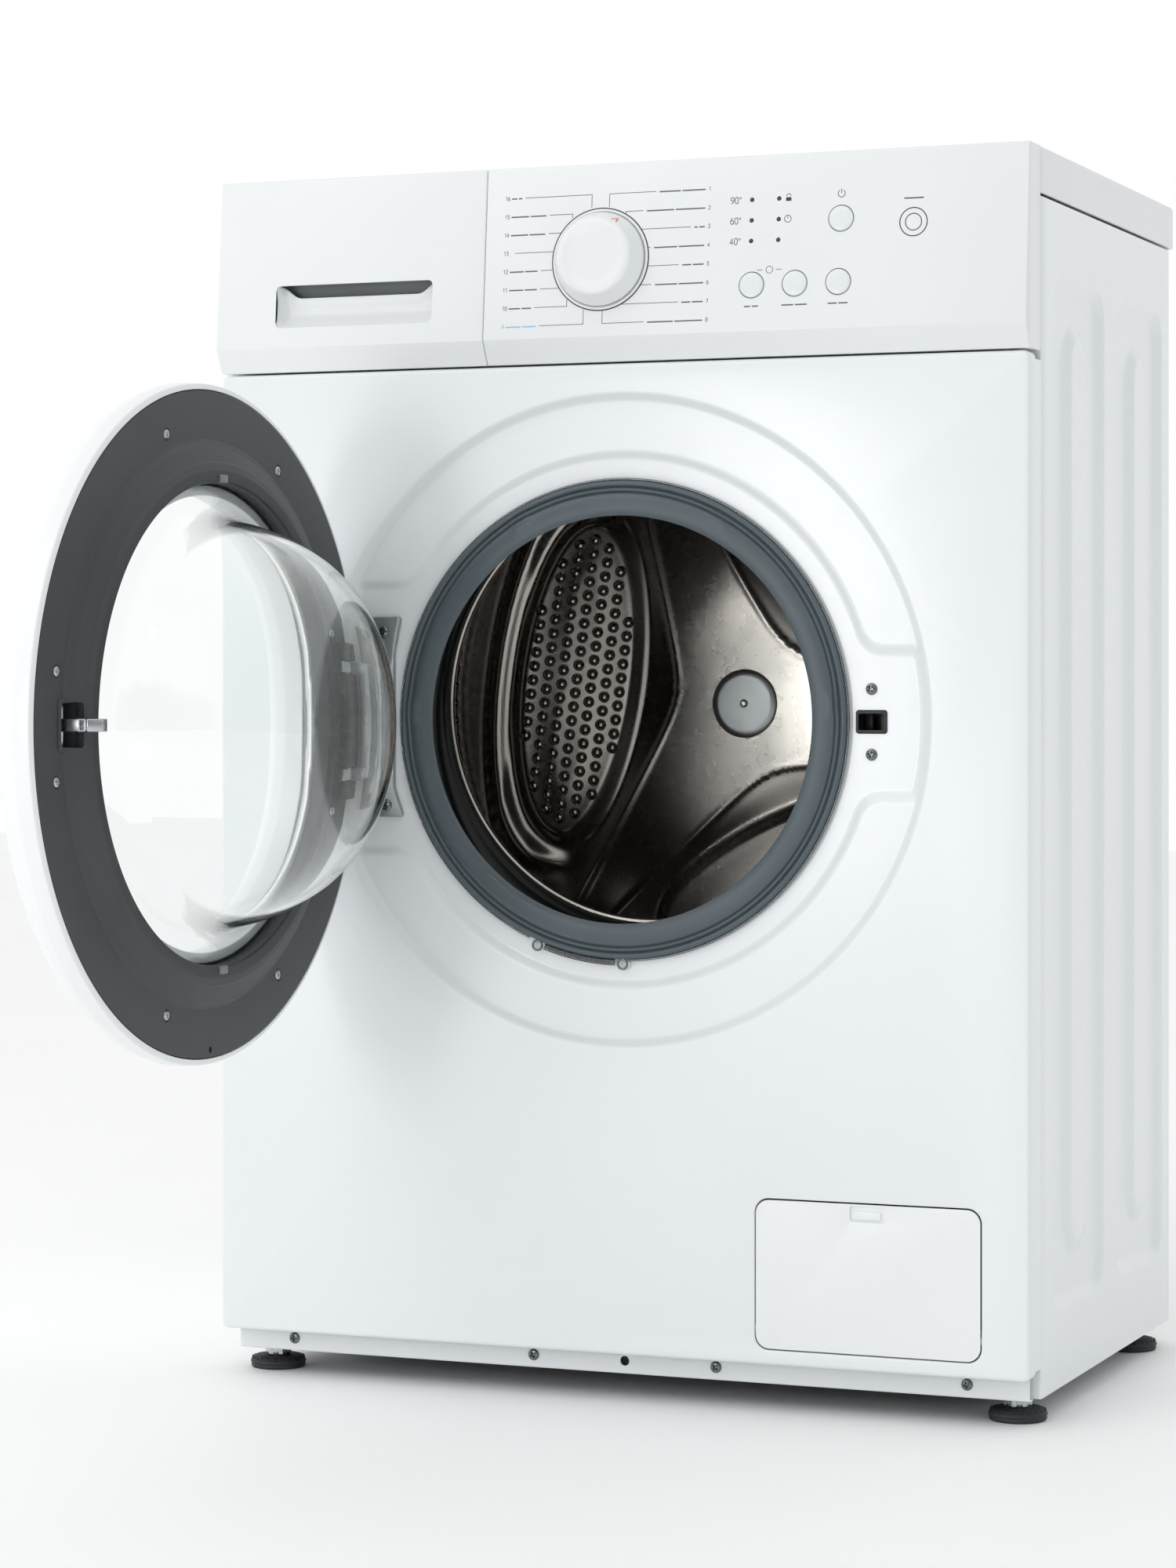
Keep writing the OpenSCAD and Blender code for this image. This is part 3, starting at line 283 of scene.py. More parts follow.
MATERIALS = make_materials()
# grey print; also the painted gap shadow round the buttons
GREY_INK_AND_GAP_SHADE = material("grey_ink_and_gap_shade", (96, 99, 102), 0.5, 0.05, 300, 900, 0.02, 0.0001)
# dark grey print; also the painted shadow line in the gap round the knob
DARK_INK_AND_GAP_SHADOW = material("dark_ink_and_gap_shadow", (52, 54, 57), 0.5, 0.05, 300, 900, 0.02, 0.0001)
BLUE_INK = material("blue_ink", (150, 196, 226), 0.5, 0.03, 300, 900, 0.02, 0.0001)
RED_INK = material("red_ink", (222, 94, 66), 0.45, 0.03, 300, 900, 0.02, 0.0001)
# grey tab plastic; also painted on the grip case as the finger slot's shade
TAB_GREY_AND_SLOT_SHADE = material("tab_pp_and_slot_shade", (128, 134, 136), 0.40, 0.04, 30, 900, 0.10, 0.0002)
HUB_STEEL = material("hub_steel", (168, 170, 170), 0.34, 0.04, 40, 900, 0.04, 0.0002, Metallic=1.0)
# darker copy of white_abs: painted shade that offsets the extra light on the fascia, which leans back towards
# the sky
FASCIA_WHITE_PAINTED_DARKER = material("fascia_abs_painted_darker", (236, 239, 240), 0.32, 0.010, 6, 700, 0.04, 0.0002, rough_vary=0.03)

CLAMP_STEEL = material("clamp_steel", (118, 121, 123), 0.26, 0.05, 70, 900, 0.06, 0.0002, Metallic=1.0)
# drum steel made darker for the drum wall: painted shade for the dim inside of the drum
WALL_STEEL_PAINTED_DARK = material("wall_steel_painted_dark", (112, 109, 106), 0.14, 0.06, 40, 300, 0.03, 0.0003, Metallic=1.0)


def brushed_round():
    """Drum steel brushed in circles round the hub."""
    made = material("brushed_steel", (172, 167, 161), 0.27, 0.05, 9, 70, 0.001, 0.0001, rough_vary=0.012,
                    Metallic=1.0, Anisotropic=0.6)
    tree = made.node_tree
    around = tree.nodes.new("ShaderNodeTangent")
    around.direction_type = "RADIAL"
    around.axis = "Y"
    tree.links.new(around.outputs["Tangent"], tree.nodes["Principled BSDF"].inputs["Tangent"])
    return made


BRUSHED = brushed_round()


# --------------------------------------------------------------- mesh helpers

def ring_point(centre, r, a, y):
    """The point at radius r and angle a (radians) round a line along Y through centre."""
    return (centre[0] + r * math.cos(a), y, centre[1] + r * math.sin(a))


def turns(steps):
    """Angles of a full turn, in radians."""
    return [2 * math.pi * i / steps for i in range(steps)]


class Shape:
    """Collects vertices (millimetres) and faces for one mesh."""

    def __init__(self):
        self.points = []
        self.faces = []

    def add(self, points, faces):
        start = len(self.points)
        self.points += [tuple(p) for p in points]
        self.faces += [[start + i for i in f] for f in faces]
        return self

    def grid(self, rows, close_u=False, close_v=False):
        """Quads between rows of points; close_u joins each row's ends, close_v the last row to the first."""
        n, k = len(rows), len(rows[0])
        faces = []
        for i in range(n if close_v else n - 1):
            for j in range(k if close_u else k - 1):
                a, b = i * k + j, i * k + (j + 1) % k
                c, d = ((i + 1) % n) * k + (j + 1) % k, ((i + 1) % n) * k + j
                faces.append((a, b, c, d))
        return self.add([p for row in rows for p in row], faces)

    def lathe(self, profile, centre, steps=192, start=0.0, sweep=360.0, closed=True):
        """Turns a (radius, Y) profile about a line along Y through centre."""
        whole = abs(sweep - 360.0) < 1e-6
        count = steps if whole else steps + 1
        rows = []
        for r, y in profile:
            angles = [math.radians(start + sweep * i / steps) for i in range(count)]
            rows.append([ring_point(centre, r, a, y) for a in angles])
        return self.grid(rows, close_u=whole, close_v=closed)

    def spin(self, profile, place, axis=(0, 0, 1), steps=48, closed=True):
        """Turns a (radius, height) profile about an axis through place."""
        turn = Vector((0, 0, 1)).rotation_difference(Vector(axis)).to_matrix()
        rows = []
        for r, h in profile:
            rows.append([Vector(place) + turn @ Vector((r * math.cos(a), r * math.sin(a), h))
                         for a in turns(steps)])
        return self.grid(rows, close_u=True, close_v=closed)

    def plug(self, r, low, high, place, axis=(0, 0, 1), steps=48):
        """A plain round bar from low to high along an axis through place."""
        return self.spin([(0, low), (r, low), (r, high), (0, high)], place, axis, steps)

    def prism(self, outline, low, high, plane="xz"):
        """A 2D outline with thickness: low to high along the third axis."""
        def lift(p, t):
            return {"xz": (p[0], t, p[1]), "xy": (p[0], p[1], t), "yz": (t, p[0], p[1])}[plane]
        n = len(outline)
        points = [lift(p, low) for p in outline] + [lift(p, high) for p in outline]
        faces = [tuple(range(n)), tuple(range(2 * n - 1, n - 1, -1))]
        faces += [(i, (i + 1) % n, n + (i + 1) % n, n + i) for i in range(n)]
        return self.add(points, faces)

    def tube(self, path, radius, sides=10, closed=False):
        """A round bar along a path."""
        pts = [Vector(p) for p in path]
        n = len(pts)
        rows = []
        up = None
        for i, p in enumerate(pts):
            if closed:
                along = (pts[(i + 1) % n] - pts[i - 1]).normalized()
            else:
                along = (pts[min(i + 1, n - 1)] - pts[max(i - 1, 0)]).normalized()
            if up is None:
                up = along.orthogonal().normalized()
            up = (up - along * up.dot(along)).normalized()
            side = along.cross(up)
            rows.append([p + (up * math.cos(a) + side * math.sin(a)) * radius
                         for a in (2 * math.pi * k / sides for k in range(sides))])
        first = len(self.points)
        self.grid(rows, close_u=True, close_v=closed)
        if not closed:
            self.faces.append([first + k for k in range(sides)])
            self.faces.append([first + (n - 1) * sides + k for k in reversed(range(sides))])
        return self

    def moved(self, matrix):
        """The same shape with every point put through a matrix in millimetres."""
        self.points = [tuple(matrix @ Vector(p)) for p in self.points]
        return self


def opened(shape):
    """Turns a shape drawn for the shut door to the door's open place."""
    pivot = Vector((HINGE[0], HINGE[1], 0))
    turn = Matrix.Translation(pivot) @ Matrix.Rotation(-DOOR_OPEN, 4, "Z") @ Matrix.Translation(-pivot)
    return shape.moved(turn)


def piece(name, shape, body, slot, *replaced, angle=32, finish=None, weld=0.01):
    """Makes the object, rides it on its body and gives it its slot's material."""
    mesh = bpy.data.meshes.new(name)
    mesh.from_pydata(mm(shape.points), [], shape.faces)
    tool = bmesh.new()
    tool.from_mesh(mesh)
    bmesh.ops.remove_doubles(tool, verts=tool.verts, dist=weld / 1000)
    bmesh.ops.dissolve_degenerate(tool, edges=tool.edges, dist=1e-7)
    bmesh.ops.recalc_face_normals(tool, faces=tool.faces)
    tool.to_mesh(mesh)
    tool.free()
    made = bpy.data.objects.new(name, mesh)
    scene.collection.objects.link(made)
    mesh.shade_smooth()
    mesh.set_sharp_from_angle(angle=math.radians(angle))
    made.data.materials.append(finish or MATERIALS[slot])
    if body:
        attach(made, body)
    if replaced:
        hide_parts(*replaced)
    return made


def bake(made, angle=32):
    """Applies the modifiers of a piece to its mesh."""
    bpy.context.view_layer.update()
    graph = bpy.context.evaluated_depsgraph_get()
    mesh = bpy.data.meshes.new_from_object(made.evaluated_get(graph))
    made.modifiers.clear()
    made.data = mesh
    mesh.shade_smooth()
    mesh.set_sharp_from_angle(angle=math.radians(angle))
    return made


def cut(made, *shapes, angle=32):
    """Cuts closed shapes out of a piece."""
    for shape in shapes:
        mesh = bpy.data.meshes.new("cutter")
        mesh.from_pydata(mm(shape.points), [], shape.faces)
        tool = bmesh.new()
        tool.from_mesh(mesh)
        bmesh.ops.remove_doubles(tool, verts=tool.verts, dist=1e-6)
        bmesh.ops.recalc_face_normals(tool, faces=tool.faces)
        tool.to_mesh(mesh)
        tool.free()
        cutter = bpy.data.objects.new("cutter", mesh)
        scene.collection.objects.link(cutter)
        modifier = made.modifiers.new("cut", "BOOLEAN")
        modifier.object = cutter
        modifier.solver = "EXACT"
        bake(made, angle)
        bpy.data.objects.remove(cutter)
    return made


def bevel(made, width, segments=3, limit=30, angle=32):
    """Rounds a piece's sharp edges."""
    modifier = made.modifiers.new("bevel", "BEVEL")
    modifier.width = width / 1000
    modifier.segments = segments
    modifier.limit_method = "ANGLE"
    modifier.angle_limit = math.radians(limit)
    modifier.harden_normals = False
    return bake(made, angle)


def moulded(width, *args, segments=3, **kwargs):
    """A piece with its sharp edges rounded."""
    return bevel(piece(*args, angle=40, **kwargs), width, segments, 40, 40)


def thicken(made, thickness, angle=32):
    """Gives a sheet its thickness, inward."""
    modifier = made.modifiers.new("sheet", "SOLIDIFY")
    modifier.thickness = thickness / 1000
    modifier.offset = -1
    return bake(made, angle)


def face_to(made, direction):
    """Flips an open sheet so that its largest faces look along a direction."""
    total = sum((p.normal * p.area for p in made.data.polygons), Vector())
    if total.dot(Vector(direction)) < 0:
        made.data.flip_normals()
    return made


# ------------------------------------------------------------ camera and light

def set_camera():
    """The camera at the viewing angle that the object is shown from."""
    data = bpy.data.cameras.new("camera")
    made = bpy.data.objects.new("camera", data)
    scene.collection.objects.link(made)
    made.location = (0.9958, -2.4923, 0.4905)
    made.rotation_euler = (math.radians(90), 0, math.radians(22.08))
    data.sensor_width = 36
    data.lens = 89.98
    data.shift_y = -0.062
    data.clip_end = 60
    scene.camera = made


def area_light(name, place, aim, size, power, tint=(1, 1, 1)):
    """A soft box at place, turned towards aim."""
    data = bpy.data.lights.new(name, "AREA")
    data.shape = "RECTANGLE"
    data.size, data.size_y = size
    data.energy = power
    data.color = tint
    made = bpy.data.objects.new(name, data)
    scene.collection.objects.link(made)
    made.location = place
    made.rotation_mode = "QUATERNION"
    made.rotation_quaternion = (Vector(place) - Vector(aim)).to_track_quat("Z", "Y")


def towards(tree, direction, low, high):
    """0 to 1 as the surroundings' direction nears the given one, between two cosines."""
    coords = tree.nodes.new("ShaderNodeTexCoord")
    dot = tree.nodes.new("ShaderNodeVectorMath")
    dot.operation = "DOT_PRODUCT"
    dot.inputs[1].default_value = Vector(direction).normalized()
    tree.links.new(coords.outputs["Generated"], dot.inputs[0])
    node = tree.nodes.new("ShaderNodeMapRange")
    node.interpolation_type = "SMOOTHSTEP"
    node.inputs["From Min"].default_value = low
    node.inputs["From Max"].default_value = high
    tree.links.new(dot.outputs["Value"], node.inputs["Value"])
    return node.outputs["Result"]


def light_surroundings(tree):
    """White surroundings, greyer on the right and behind the viewer, as in a studio."""
    back = tree.nodes["Background"]
    back.inputs["Strength"].default_value = 1.0
    shade = None
    for direction, low, high, dark in (((1, 0.1, 0), 0.25, 0.95, (0.56, 0.58, 0.59, 1)),
                                       ((0.37, -0.93, 0), 0.93, 0.985, (0.30, 0.30, 0.30, 1)),
                                       ((-0.38, -0.92, 0), 0.90, 0.97, (0.45, 0.45, 0.45, 1)),
                                       ((0.06, -0.985, 0.16), 0.955, 0.992, (0.20, 0.20, 0.20, 1))):
        mix = tree.nodes.new("ShaderNodeMixRGB")
        tree.links.new(towards(tree, direction, low, high), mix.inputs["Fac"])
        if shade is None:
            mix.inputs["Color1"].default_value = (1.0, 1.0, 1.0, 1)
        else:
            tree.links.new(shade, mix.inputs["Color1"])
        mix.inputs["Color2"].default_value = dark
        shade = mix.outputs["Color"]
    tree.links.new(shade, back.inputs["Color"])


def set_stage():
    """Pale floor, pale surroundings and plain soft light."""
    corners = [(x, y, 0) for x, y in rect(-9, -9, 9, 9)]
    mesh = bpy.data.meshes.new("floor")
    mesh.from_pydata(corners, [], [(0, 1, 2, 3)])
    made = bpy.data.objects.new("floor", mesh)
    scene.collection.objects.link(made)
    mesh.materials.append(material("floor_paint", (253, 253, 253), 0.6, 0.01, 2, 60, 0.02, 0.0002))
    world = bpy.data.worlds.new("surroundings")
    world.use_nodes = True
    light_surroundings(world.node_tree)
    scene.world = world
    area_light("key", (-1.8, -3.2, 3.2), (0, 0, 0.4), (2.4, 2.4), 22)
    area_light("port", (-0.86, -2.9, 0.62), (0, 0.26, 0.48), (0.26, 0.8), 9)
    scene.view_settings.view_transform = "Standard"


set_camera()
set_stage()
for sub in frame["record"]["subparts"]:
    target = nodes[sub["node"]]
    target.data.materials.clear()
    target.data.materials.append(MATERIALS[sub["material_slot"]])


# -------------------------------------------------------------------- cabinet

def rect_distance(x, z, x0, z0, x1, z1, r=0.0):
    """Signed distance from a rectangle with round corners, negative inside."""
    dx = abs(x - (x0 + x1) / 2) - (x1 - x0) / 2 + r
    dz = abs(z - (z0 + z1) / 2) - (z1 - z0) / 2 + r
    return math.hypot(max(dx, 0), max(dz, 0)) + min(max(dx, dz), 0) - r


def merge(a, b, soft):
    """The smaller of two distances, blended where they meet."""
    h = max(soft - abs(a - b), 0) / soft
    return min(a, b) - h * h * soft / 4


def press_depth(x, z):
    """How far the front panel's sheet is pressed in."""
    r = math.hypot(x - PORT[0], z - PORT[1])
    field = merge(r - 182, rect_distance(x, z, -300, 375, -140, 562), 14)
    field = merge(field, rect_distance(x, z, 150, 417, 300, 515), 14)
    field = -merge(-field, 217.5 - r, 4)
    return 6 * (1 - smooth(218.8, 224.4, r)) + 3 * (1 - smooth(-3.2, 3.2, field))


def loop_rows(outline_at, stages):
    """Rows of an outline that grows and sinks: (grow, depth) pairs."""
    return [[(x, y, z) for x, z in outline_at(g)] for g, y in stages]


def front_panel():
    """Pressed front sheet with its folded edges, porthole, lock slot and flap opening."""
    shape = Shape()
    steps = 720
    rim = [(PORT_EDGE - 3 * math.sin(math.radians(t)), 9 + 3 * (1 - math.cos(math.radians(t))))
           for t in (90, 72, 54, 36, 18)]
    rows = [[ring_point(PORT, r, a, y) for a in turns(steps)] for r, y in [(158, 17)] + rim]
    r = PORT_EDGE
    while r <= 232.0:
        ring = [ring_point(PORT, r, a, 0) for a in turns(steps)]
        rows.append([(x, press_depth(x, z), z) for x, _, z in ring])
        r += 1.29
    shape.grid(rows, close_u=True)
    edge = [(p[0], p[2]) for p in rows[-1]]

    def outer(grow):
        return round_rect(-294.5 - grow, 36.4 - grow, 294.5 + grow, 708.9 + grow, 2 + grow, 6)

    def hole(grow):
        x0, z0, x1, z1 = FLAP
        return round_rect(x0 - 0.8 - grow, z0 - 0.8 - grow, x1 + 0.8 + grow, z1 + 0.8 + grow, 10 + grow, 10)

    fold = [math.radians(t) for t in (0, 18, 36, 54, 72, 90)]
    shape.grid(loop_rows(outer, [(3 * math.sin(t), 3 * (1 - math.cos(t))) for t in fold] + [(3, 14)]),
               close_u=True)
    for s in (-1, 1):
        shape.add([(s * HALF_W, 14, 38.4), (s * HALF_W, 28, 38.4), (s * HALF_W, 28, 706.9),
                   (s * HALF_W, 14, 706.9)], [(0, 1, 2, 3)])
    rolled = [(1 - math.sin(t), 1 - math.cos(t)) for t in fold]
    rows = loop_rows(hole, rolled)
    rows.append([(x, 1.3 if z < FLAP[1] + 9 else 10.5, z) for x, z in hole(0)])
    shape.grid(rows, close_u=True)
    loops = [outer(0), edge, hole(1)]
    points, faces = [], []
    for loop in loops:
        faces.append(list(range(len(points), len(points) + len(loop))))
        points += [Vector(p) for p in loop]
    made, _, tris, *_ = delaunay_2d_cdt(points, [], faces, 1, 1e-4)
    kept = []
    for t in tris:
        x, z = (sum(made[i][k] for i in t) / 3 for k in (0, 1))
        if math.hypot(x - PORT[0], z - PORT[1]) < edge[0][0] - PORT[0] - 0.02:
            continue
        if rect_distance(x, z, FLAP[0] - 1.8, FLAP[1] - 1.8, FLAP[2] + 1.8, FLAP[3] + 1.8, 11) < -0.02:
            continue
        kept.append(t)
    shape.add([(p[0], 0, p[1]) for p in made], kept)
    panel = piece("front_panel_sheet", shape, "cabinet", "white_steel", "front_panel", angle=50)
    face_to(panel, (0, -1, 0))
    thicken(panel, 0.9, 50)
    x, z = HOOK
    return cut(panel, Shape().prism(round_rect(x - 11, z - 8, x + 11, z + 8, 2), -5, 15), angle=50)


# Side panel's pressed fields: front, back, plateau's front and back, top, plateau's top
FIELDS = ((53, 194, 107, 146, 769, 728), (226, 362, 280, 313, 769, 726))


def emboss_depth(y, z):
    """How far a side panel's sheet is pressed in."""
    depth = 0.0
    for y0, y1, p0, p1, top, plateau_top in FIELDS:
        well = rect_distance(y, z, y0, 68, y1, top, 24)
        plateau = rect_distance(y, z, p0, 112, p1, plateau_top, (p1 - p0) / 2 - 1)
        depth = max(depth, 4.6 * smooth(0, 12, -well) * smooth(0, 12, plateau))
    return depth


def side_panel(name, side):
    """Embossed side sheet with rounded vertical edges."""
    def stops(marks, fine, low, high):
        """Grid lines: fine near the marks, coarse between them."""
        at, made = low, []
        while at < high - 1e-6:
            made.append(at)
            near = min((max(a - at, at - b, 0) for a, b in marks), default=99)
            at += fine if near < 1 else min(12.0, max(fine, near))
        return made + [high]

    ys = stops([(51, 68), (93, 109), (144, 160), (180, 196), (224, 240), (266, 282), (311, 327), (348, 364)],
               1.6, 30, 382)
    zs = stops([(66, 132), (708, 771)], 1.7, 18, 816)
    turn = [math.radians(t) for t in (15, 30, 45, 60, 75, 90)]
    shape = Shape()
    columns = [(28.8, 14.0), (28.8, 1.2), (29.2, 0.4)]
    columns += [(y, None) for y in ys]
    columns += [(382 + 7 * math.sin(t), 7 * (1 - math.cos(t))) for t in turn]
    columns += [(389, 18.0)]
    rows = []
    for y, inset in columns:
        rows.append([(side * (HALF_W - (emboss_depth(y, z) if inset is None else inset)), y, z) for z in zs])
    shape.grid(rows)
    for z in (zs[0], zs[-1]):
        lip = 14.0
        flat = [(side * HALF_W, y, z) for y in ys]
        shape.grid([flat, [(side * (HALF_W - lip), y, z) for y in ys]])
    panel = piece(name + "_sheet", shape, "cabinet", "white_steel", name, angle=50)
    face_to(panel, (side, 0, 0))
    return thicken(panel, 0.9, 50)


def top_cover():
    """Worktop board in a moulded rim that overhangs the sides."""
    def outline(grow, back=0.0):
        return round_rect(-HALF_W - grow, 28.4 - grow, HALF_W + grow, 400 + grow, 5 + grow, 8)

    shape = Shape()
    turn = [math.radians(t) for t in (0, 18, 36, 54, 72, 90)]
    stages = [(-3, 846), (-3, 820), (-2.2, 818.6), (-0.6, 818.6), (0, 819.4), (0, 847)]
    stages += [(-3 + 3 * math.cos(t), 847 + 3 * math.sin(t)) for t in turn[1:]]
    stages += [(-9, 850), (-9.8, 849.6), (-10.6, 849.9)]
    rows = [[(x, y, z) for x, y in outline(g)] for g, z in stages]
    shape.grid(rows, close_u=True)
    n = len(rows[0])
    last = (len(rows) - 1) * n
    shape.faces.append(list(range(last, last + n)))
    shape.faces.append(list(range(n - 1, -1, -1)))
    return piece("worktop", shape, "cabinet", "worktop_white", "top_cover", angle=35)


def kick_strip():
    """Recessed white strip along the bottom."""
    shape = Shape().prism(filleted([(20, 60), (20, 17.0), (28, 17.0), (28, 18), (21, 18), (21, 60)],
                                   [0, 1.6, 0, 0, 0.6, 0], 4), -292, 292, "yz")
    strip = piece("kick_plate", shape, "cabinet", "white_steel", "kick_strip", angle=40)
    holes = [Shape().plug(r, -3, 3, (x, 20.5, 26), (0, 1, 0), 24)
             for x, r in ((4, 3.4), (-249, 2.2), (-64, 2.2), (71, 2.2), (249, 2.2))]
    return cut(strip, *holes, angle=40)


front_panel()
side_panel("side_panel_right", 1)
side_panel("side_panel_left", -1)
top_cover()
kick_strip()


# ------------------------------------------------------------- control panel

def face_y(z):
    """Depth of the leaning fascia at a height."""
    return -8 + (z - FASCIA_Z) * math.tan(LEAN)


def on_face(x, z):
    """Turns a flat drawing, with +z out of it, square on to the fascia."""
    return Matrix.Translation((x, face_y(z), z)) @ Matrix.Rotation(math.radians(90) - LEAN, 4, "X")


def rod(x, z, r, low, high, steps=48):
    """A round bar square to the fascia."""
    return Shape().plug(r, low, high, (0, 0, 0), steps=steps).moved(on_face(x, z))


def fascia_outline(back, inner=False):
    """Section of the fascia in (Y, Z), outside or inside its wall."""
    if inner:
        return [(face_y(846.5) + 3.2, 846.5), (-5, 731), (2.5, 716.2), (back + 2, 716.2), (back + 2, 846.5)]
    return filleted([(back, 713.2), (0.6, 713.2), (-8, 730), (face_y(849.5), 849.5), (back, 849.5)],
                    [0, 1.2, 2.5, 2.2, 0])


def ink(shape, path, width, lift=0.09):
    """A printed line on the fascia along (x, z) points."""
    pts = [Vector(p) for p in path]
    rows = []
    for i, p in enumerate(pts):
        after = (pts[min(i + 1, len(pts) - 1)] - pts[max(i, 0) if i < len(pts) - 1 else i - 1]).normalized()
        before = (p - pts[i - 1]).normalized() if i else after
        normal = Vector((-(before.y + after.y), before.x + after.x)).normalized()
        reach = width / 2 / max(0.5, normal.dot(Vector((-after.y, after.x))))
        a, b = p + normal * reach, p - normal * reach
        rows.append([(q.x, face_y(q.y) + d, q.y) for q, d in ((a, -lift), (b, -lift), (b, 0.1), (a, 0.1))])
    first = len(shape.points)
    shape.grid(rows, close_u=True)
    last = first + 4 * (len(rows) - 1)
    shape.faces += [[first, first + 1, first + 2, first + 3], [last + 3, last + 2, last + 1, last]]
    return shape


# Strokes of each digit on a grid one wide and two high
STROKES = {
    "0": ((.25, 0), (.75, 0), (1, .4), (1, 1.6), (.75, 2), (.25, 2), (0, 1.6), (0, .4), (.25, 0)),
    "1": ((.15, 1.6), (.6, 2), (.6, 0)),
    "2": ((0, 1.6), (.25, 2), (.75, 2), (1, 1.6), (1, 1.25), (0, 0), (1, 0)),
    "3": ((0, 2), (1, 2), (.45, 1.25), (.8, 1.1), (1, .75), (1, .4), (.75, 0), (.25, 0), (0, .35)),
    "4": ((.75, 0), (.75, 2), (0, .6), (1, .6)),
    "5": ((1, 2), (.1, 2), (.1, 1.2), (.75, 1.25), (1, .9), (1, .4), (.75, 0), (.25, 0), (0, .35)),
    "6": ((.85, 2), (.4, 1.8), (0, 1), (0, .4), (.25, 0), (.75, 0), (1, .4), (1, .8), (.75, 1.15), (.1, 1.1)),
    "7": ((0, 2), (1, 2), (.35, 0)),
    "8": ((.3, 1.1), (0, 1.4), (0, 1.7), (.25, 2), (.75, 2), (1, 1.7), (1, 1.4), (.7, 1.1), (.3, 1.1),
          (0, .7), (0, .35), (.25, 0), (.75, 0), (1, .35), (1, .7), (.7, 1.1)),
    "9": ((.15, 0), (.6, .2), (1, 1), (1, 1.6), (.75, 2), (.25, 2), (0, 1.6), (0, 1.2), (.25, .9), (.95, .9)),
}


def number(shape, text, x, z, high, weight):
    """Digits printed from x, with their feet at z."""
    wide = high * 0.5
    for digit in text:
        ink(shape, [(x + u * wide, z + v * high / 2) for u, v in STROKES[digit]], weight)
        x += wide * 1.45
    return x


def ring_path(x, z, r, start=0, sweep=360, steps=24):
    """Points on a circle of the fascia."""
    return [(x + r * math.cos(a), z + r * math.sin(a))
            for a in (math.radians(start + sweep * i / steps) for i in range(steps + 1))]


# Programme lines: the label's end, the knob's end and the height that the line turns to, if it does
LEFT_LINES = ((-61.5, -12, 819), (-43, -26, 812.5), (-43.5, -34, None), (-68, -39.5, None),
              (-48.5, -40, None),
              (-48.5, -35.5, None), (-52.5, -28.5, 756), (-48.5, -16, 749))
RIGHT_LINES = ((35, 1, 819), (26, 13.5, 814), (61, 25.5, None), (32, 30.5, None), (53, 30.5, None),
               (33.5, 26, None), (53, 10.5, None), (28.5, -2, 748))


def programme_line(i, outer, near, bend):
    """Path of the i-th line from the top, from its label to the knob."""
    z = 828 - 12.75 * i
    return [(outer, z), (near, z)] + ([(near, bend)] if bend else [])


def prints():
    """Programme lines and generic numbers and marks round the knob, the lamps and the buttons, with a painted
    shadow ring at the gap round each button.
    """
    grey, dark, blue = Shape(), Shape(), Shape()
    for i, line in enumerate(LEFT_LINES):
        path = programme_line(i, *line)
        ink(grey, path, 0.42)
        x, z = path[0]
        target = blue if i == 7 else grey
        end = number(target, str(16 - i), -76.5, z - 1.3, 2.6, 0.36)
        for a, b in ((end + 1.0, end + (x - end) * 0.5 - 0.7), (end + (x - end) * 0.5 + 0.5, x - 2.6)):
            if b - a > 1.5:
                ink(target, [(a, z - 0.3), (b, z - 0.3)], 0.9)
    for i, line in enumerate(RIGHT_LINES):
        path = programme_line(i, *line)
        ink(grey, path, 0.42)
        x, z = path[0]
        number(grey, str(i + 1), 73.5, z - 1.3, 2.6, 0.36)
        for a, b in ((x + 2.6, x + (72 - x) * 0.5 - 0.5), (x + (72 - x) * 0.5 + 0.7, 71)):
            if b - a > 1.5:
                ink(grey, [(a, z - 0.3), (b, z - 0.3)], 0.9)
    for text, z in (("90", 819), ("60", 805), ("40", 791)):
        end = number(dark, text, 89.6, z - 2.1, 4.2, 0.45)
        ink(dark, ring_path(end + 0.6, z + 1.5, 0.6, steps=12), 0.3)
    ink(dark, ring_path(218.8, 799, 9.5, steps=40), 0.7)
    ink(dark, ring_path(218.8, 799, 5.6, steps=32), 0.6)
    ink(dark, [(212, 815), (225.6, 815)], 0.8)
    ink(dark, ring_path(130.8, 820.4, 1.5, 0, 180, 10), 0.4)
    for x0, x1, z in ((128.9, 132.7, 818.9), (128.9, 132.7, 817.7)):
        ink(dark, [(x0, z), (x1, z)], 1.3)
    ink(dark, ring_path(130.5, 805, 2.4, steps=20), 0.4)
    ink(dark, [(130.5, 805), (130.5, 806.8)], 0.4)
    ink(grey, ring_path(118.3, 771, 2.4, steps=20), 0.4)
    for x0, x1 in ((109.5, 113.5), (123, 127)):
        ink(grey, [(x0, 771), (x1, 771)], 0.4)
    for x, half in ((105.8, 5), (136.5, 9), (167.2, 7)):
        ink(grey, [(x - half, 746.6), (x - 0.6, 746.6)], 0.9)
        ink(grey, [(x + 0.6, 746.6), (x + half, 746.6)], 0.9)
    # thin grey rings at the edge of each button's hole: painted shadow of the gap round the button
    for x, z in BUTTONS.values():
        ink(grey, ring_path(x, z, 9.0, steps=48), 0.2)
    ink(dark, ring_path(168.2, 820.4, 2.5, 125, 290, 20), 0.45)
    ink(dark, [(168.2, 820.6), (168.2, 823.6)], 0.45)
    for name, shape, finish in (("print_grey_and_gap_shade", grey, GREY_INK_AND_GAP_SHADE), ("print_dark", dark, DARK_INK_AND_GAP_SHADOW),
                                ("print_blue", blue, BLUE_INK)):
        piece(name, shape, "cabinet", "white_plastic", finish=finish)


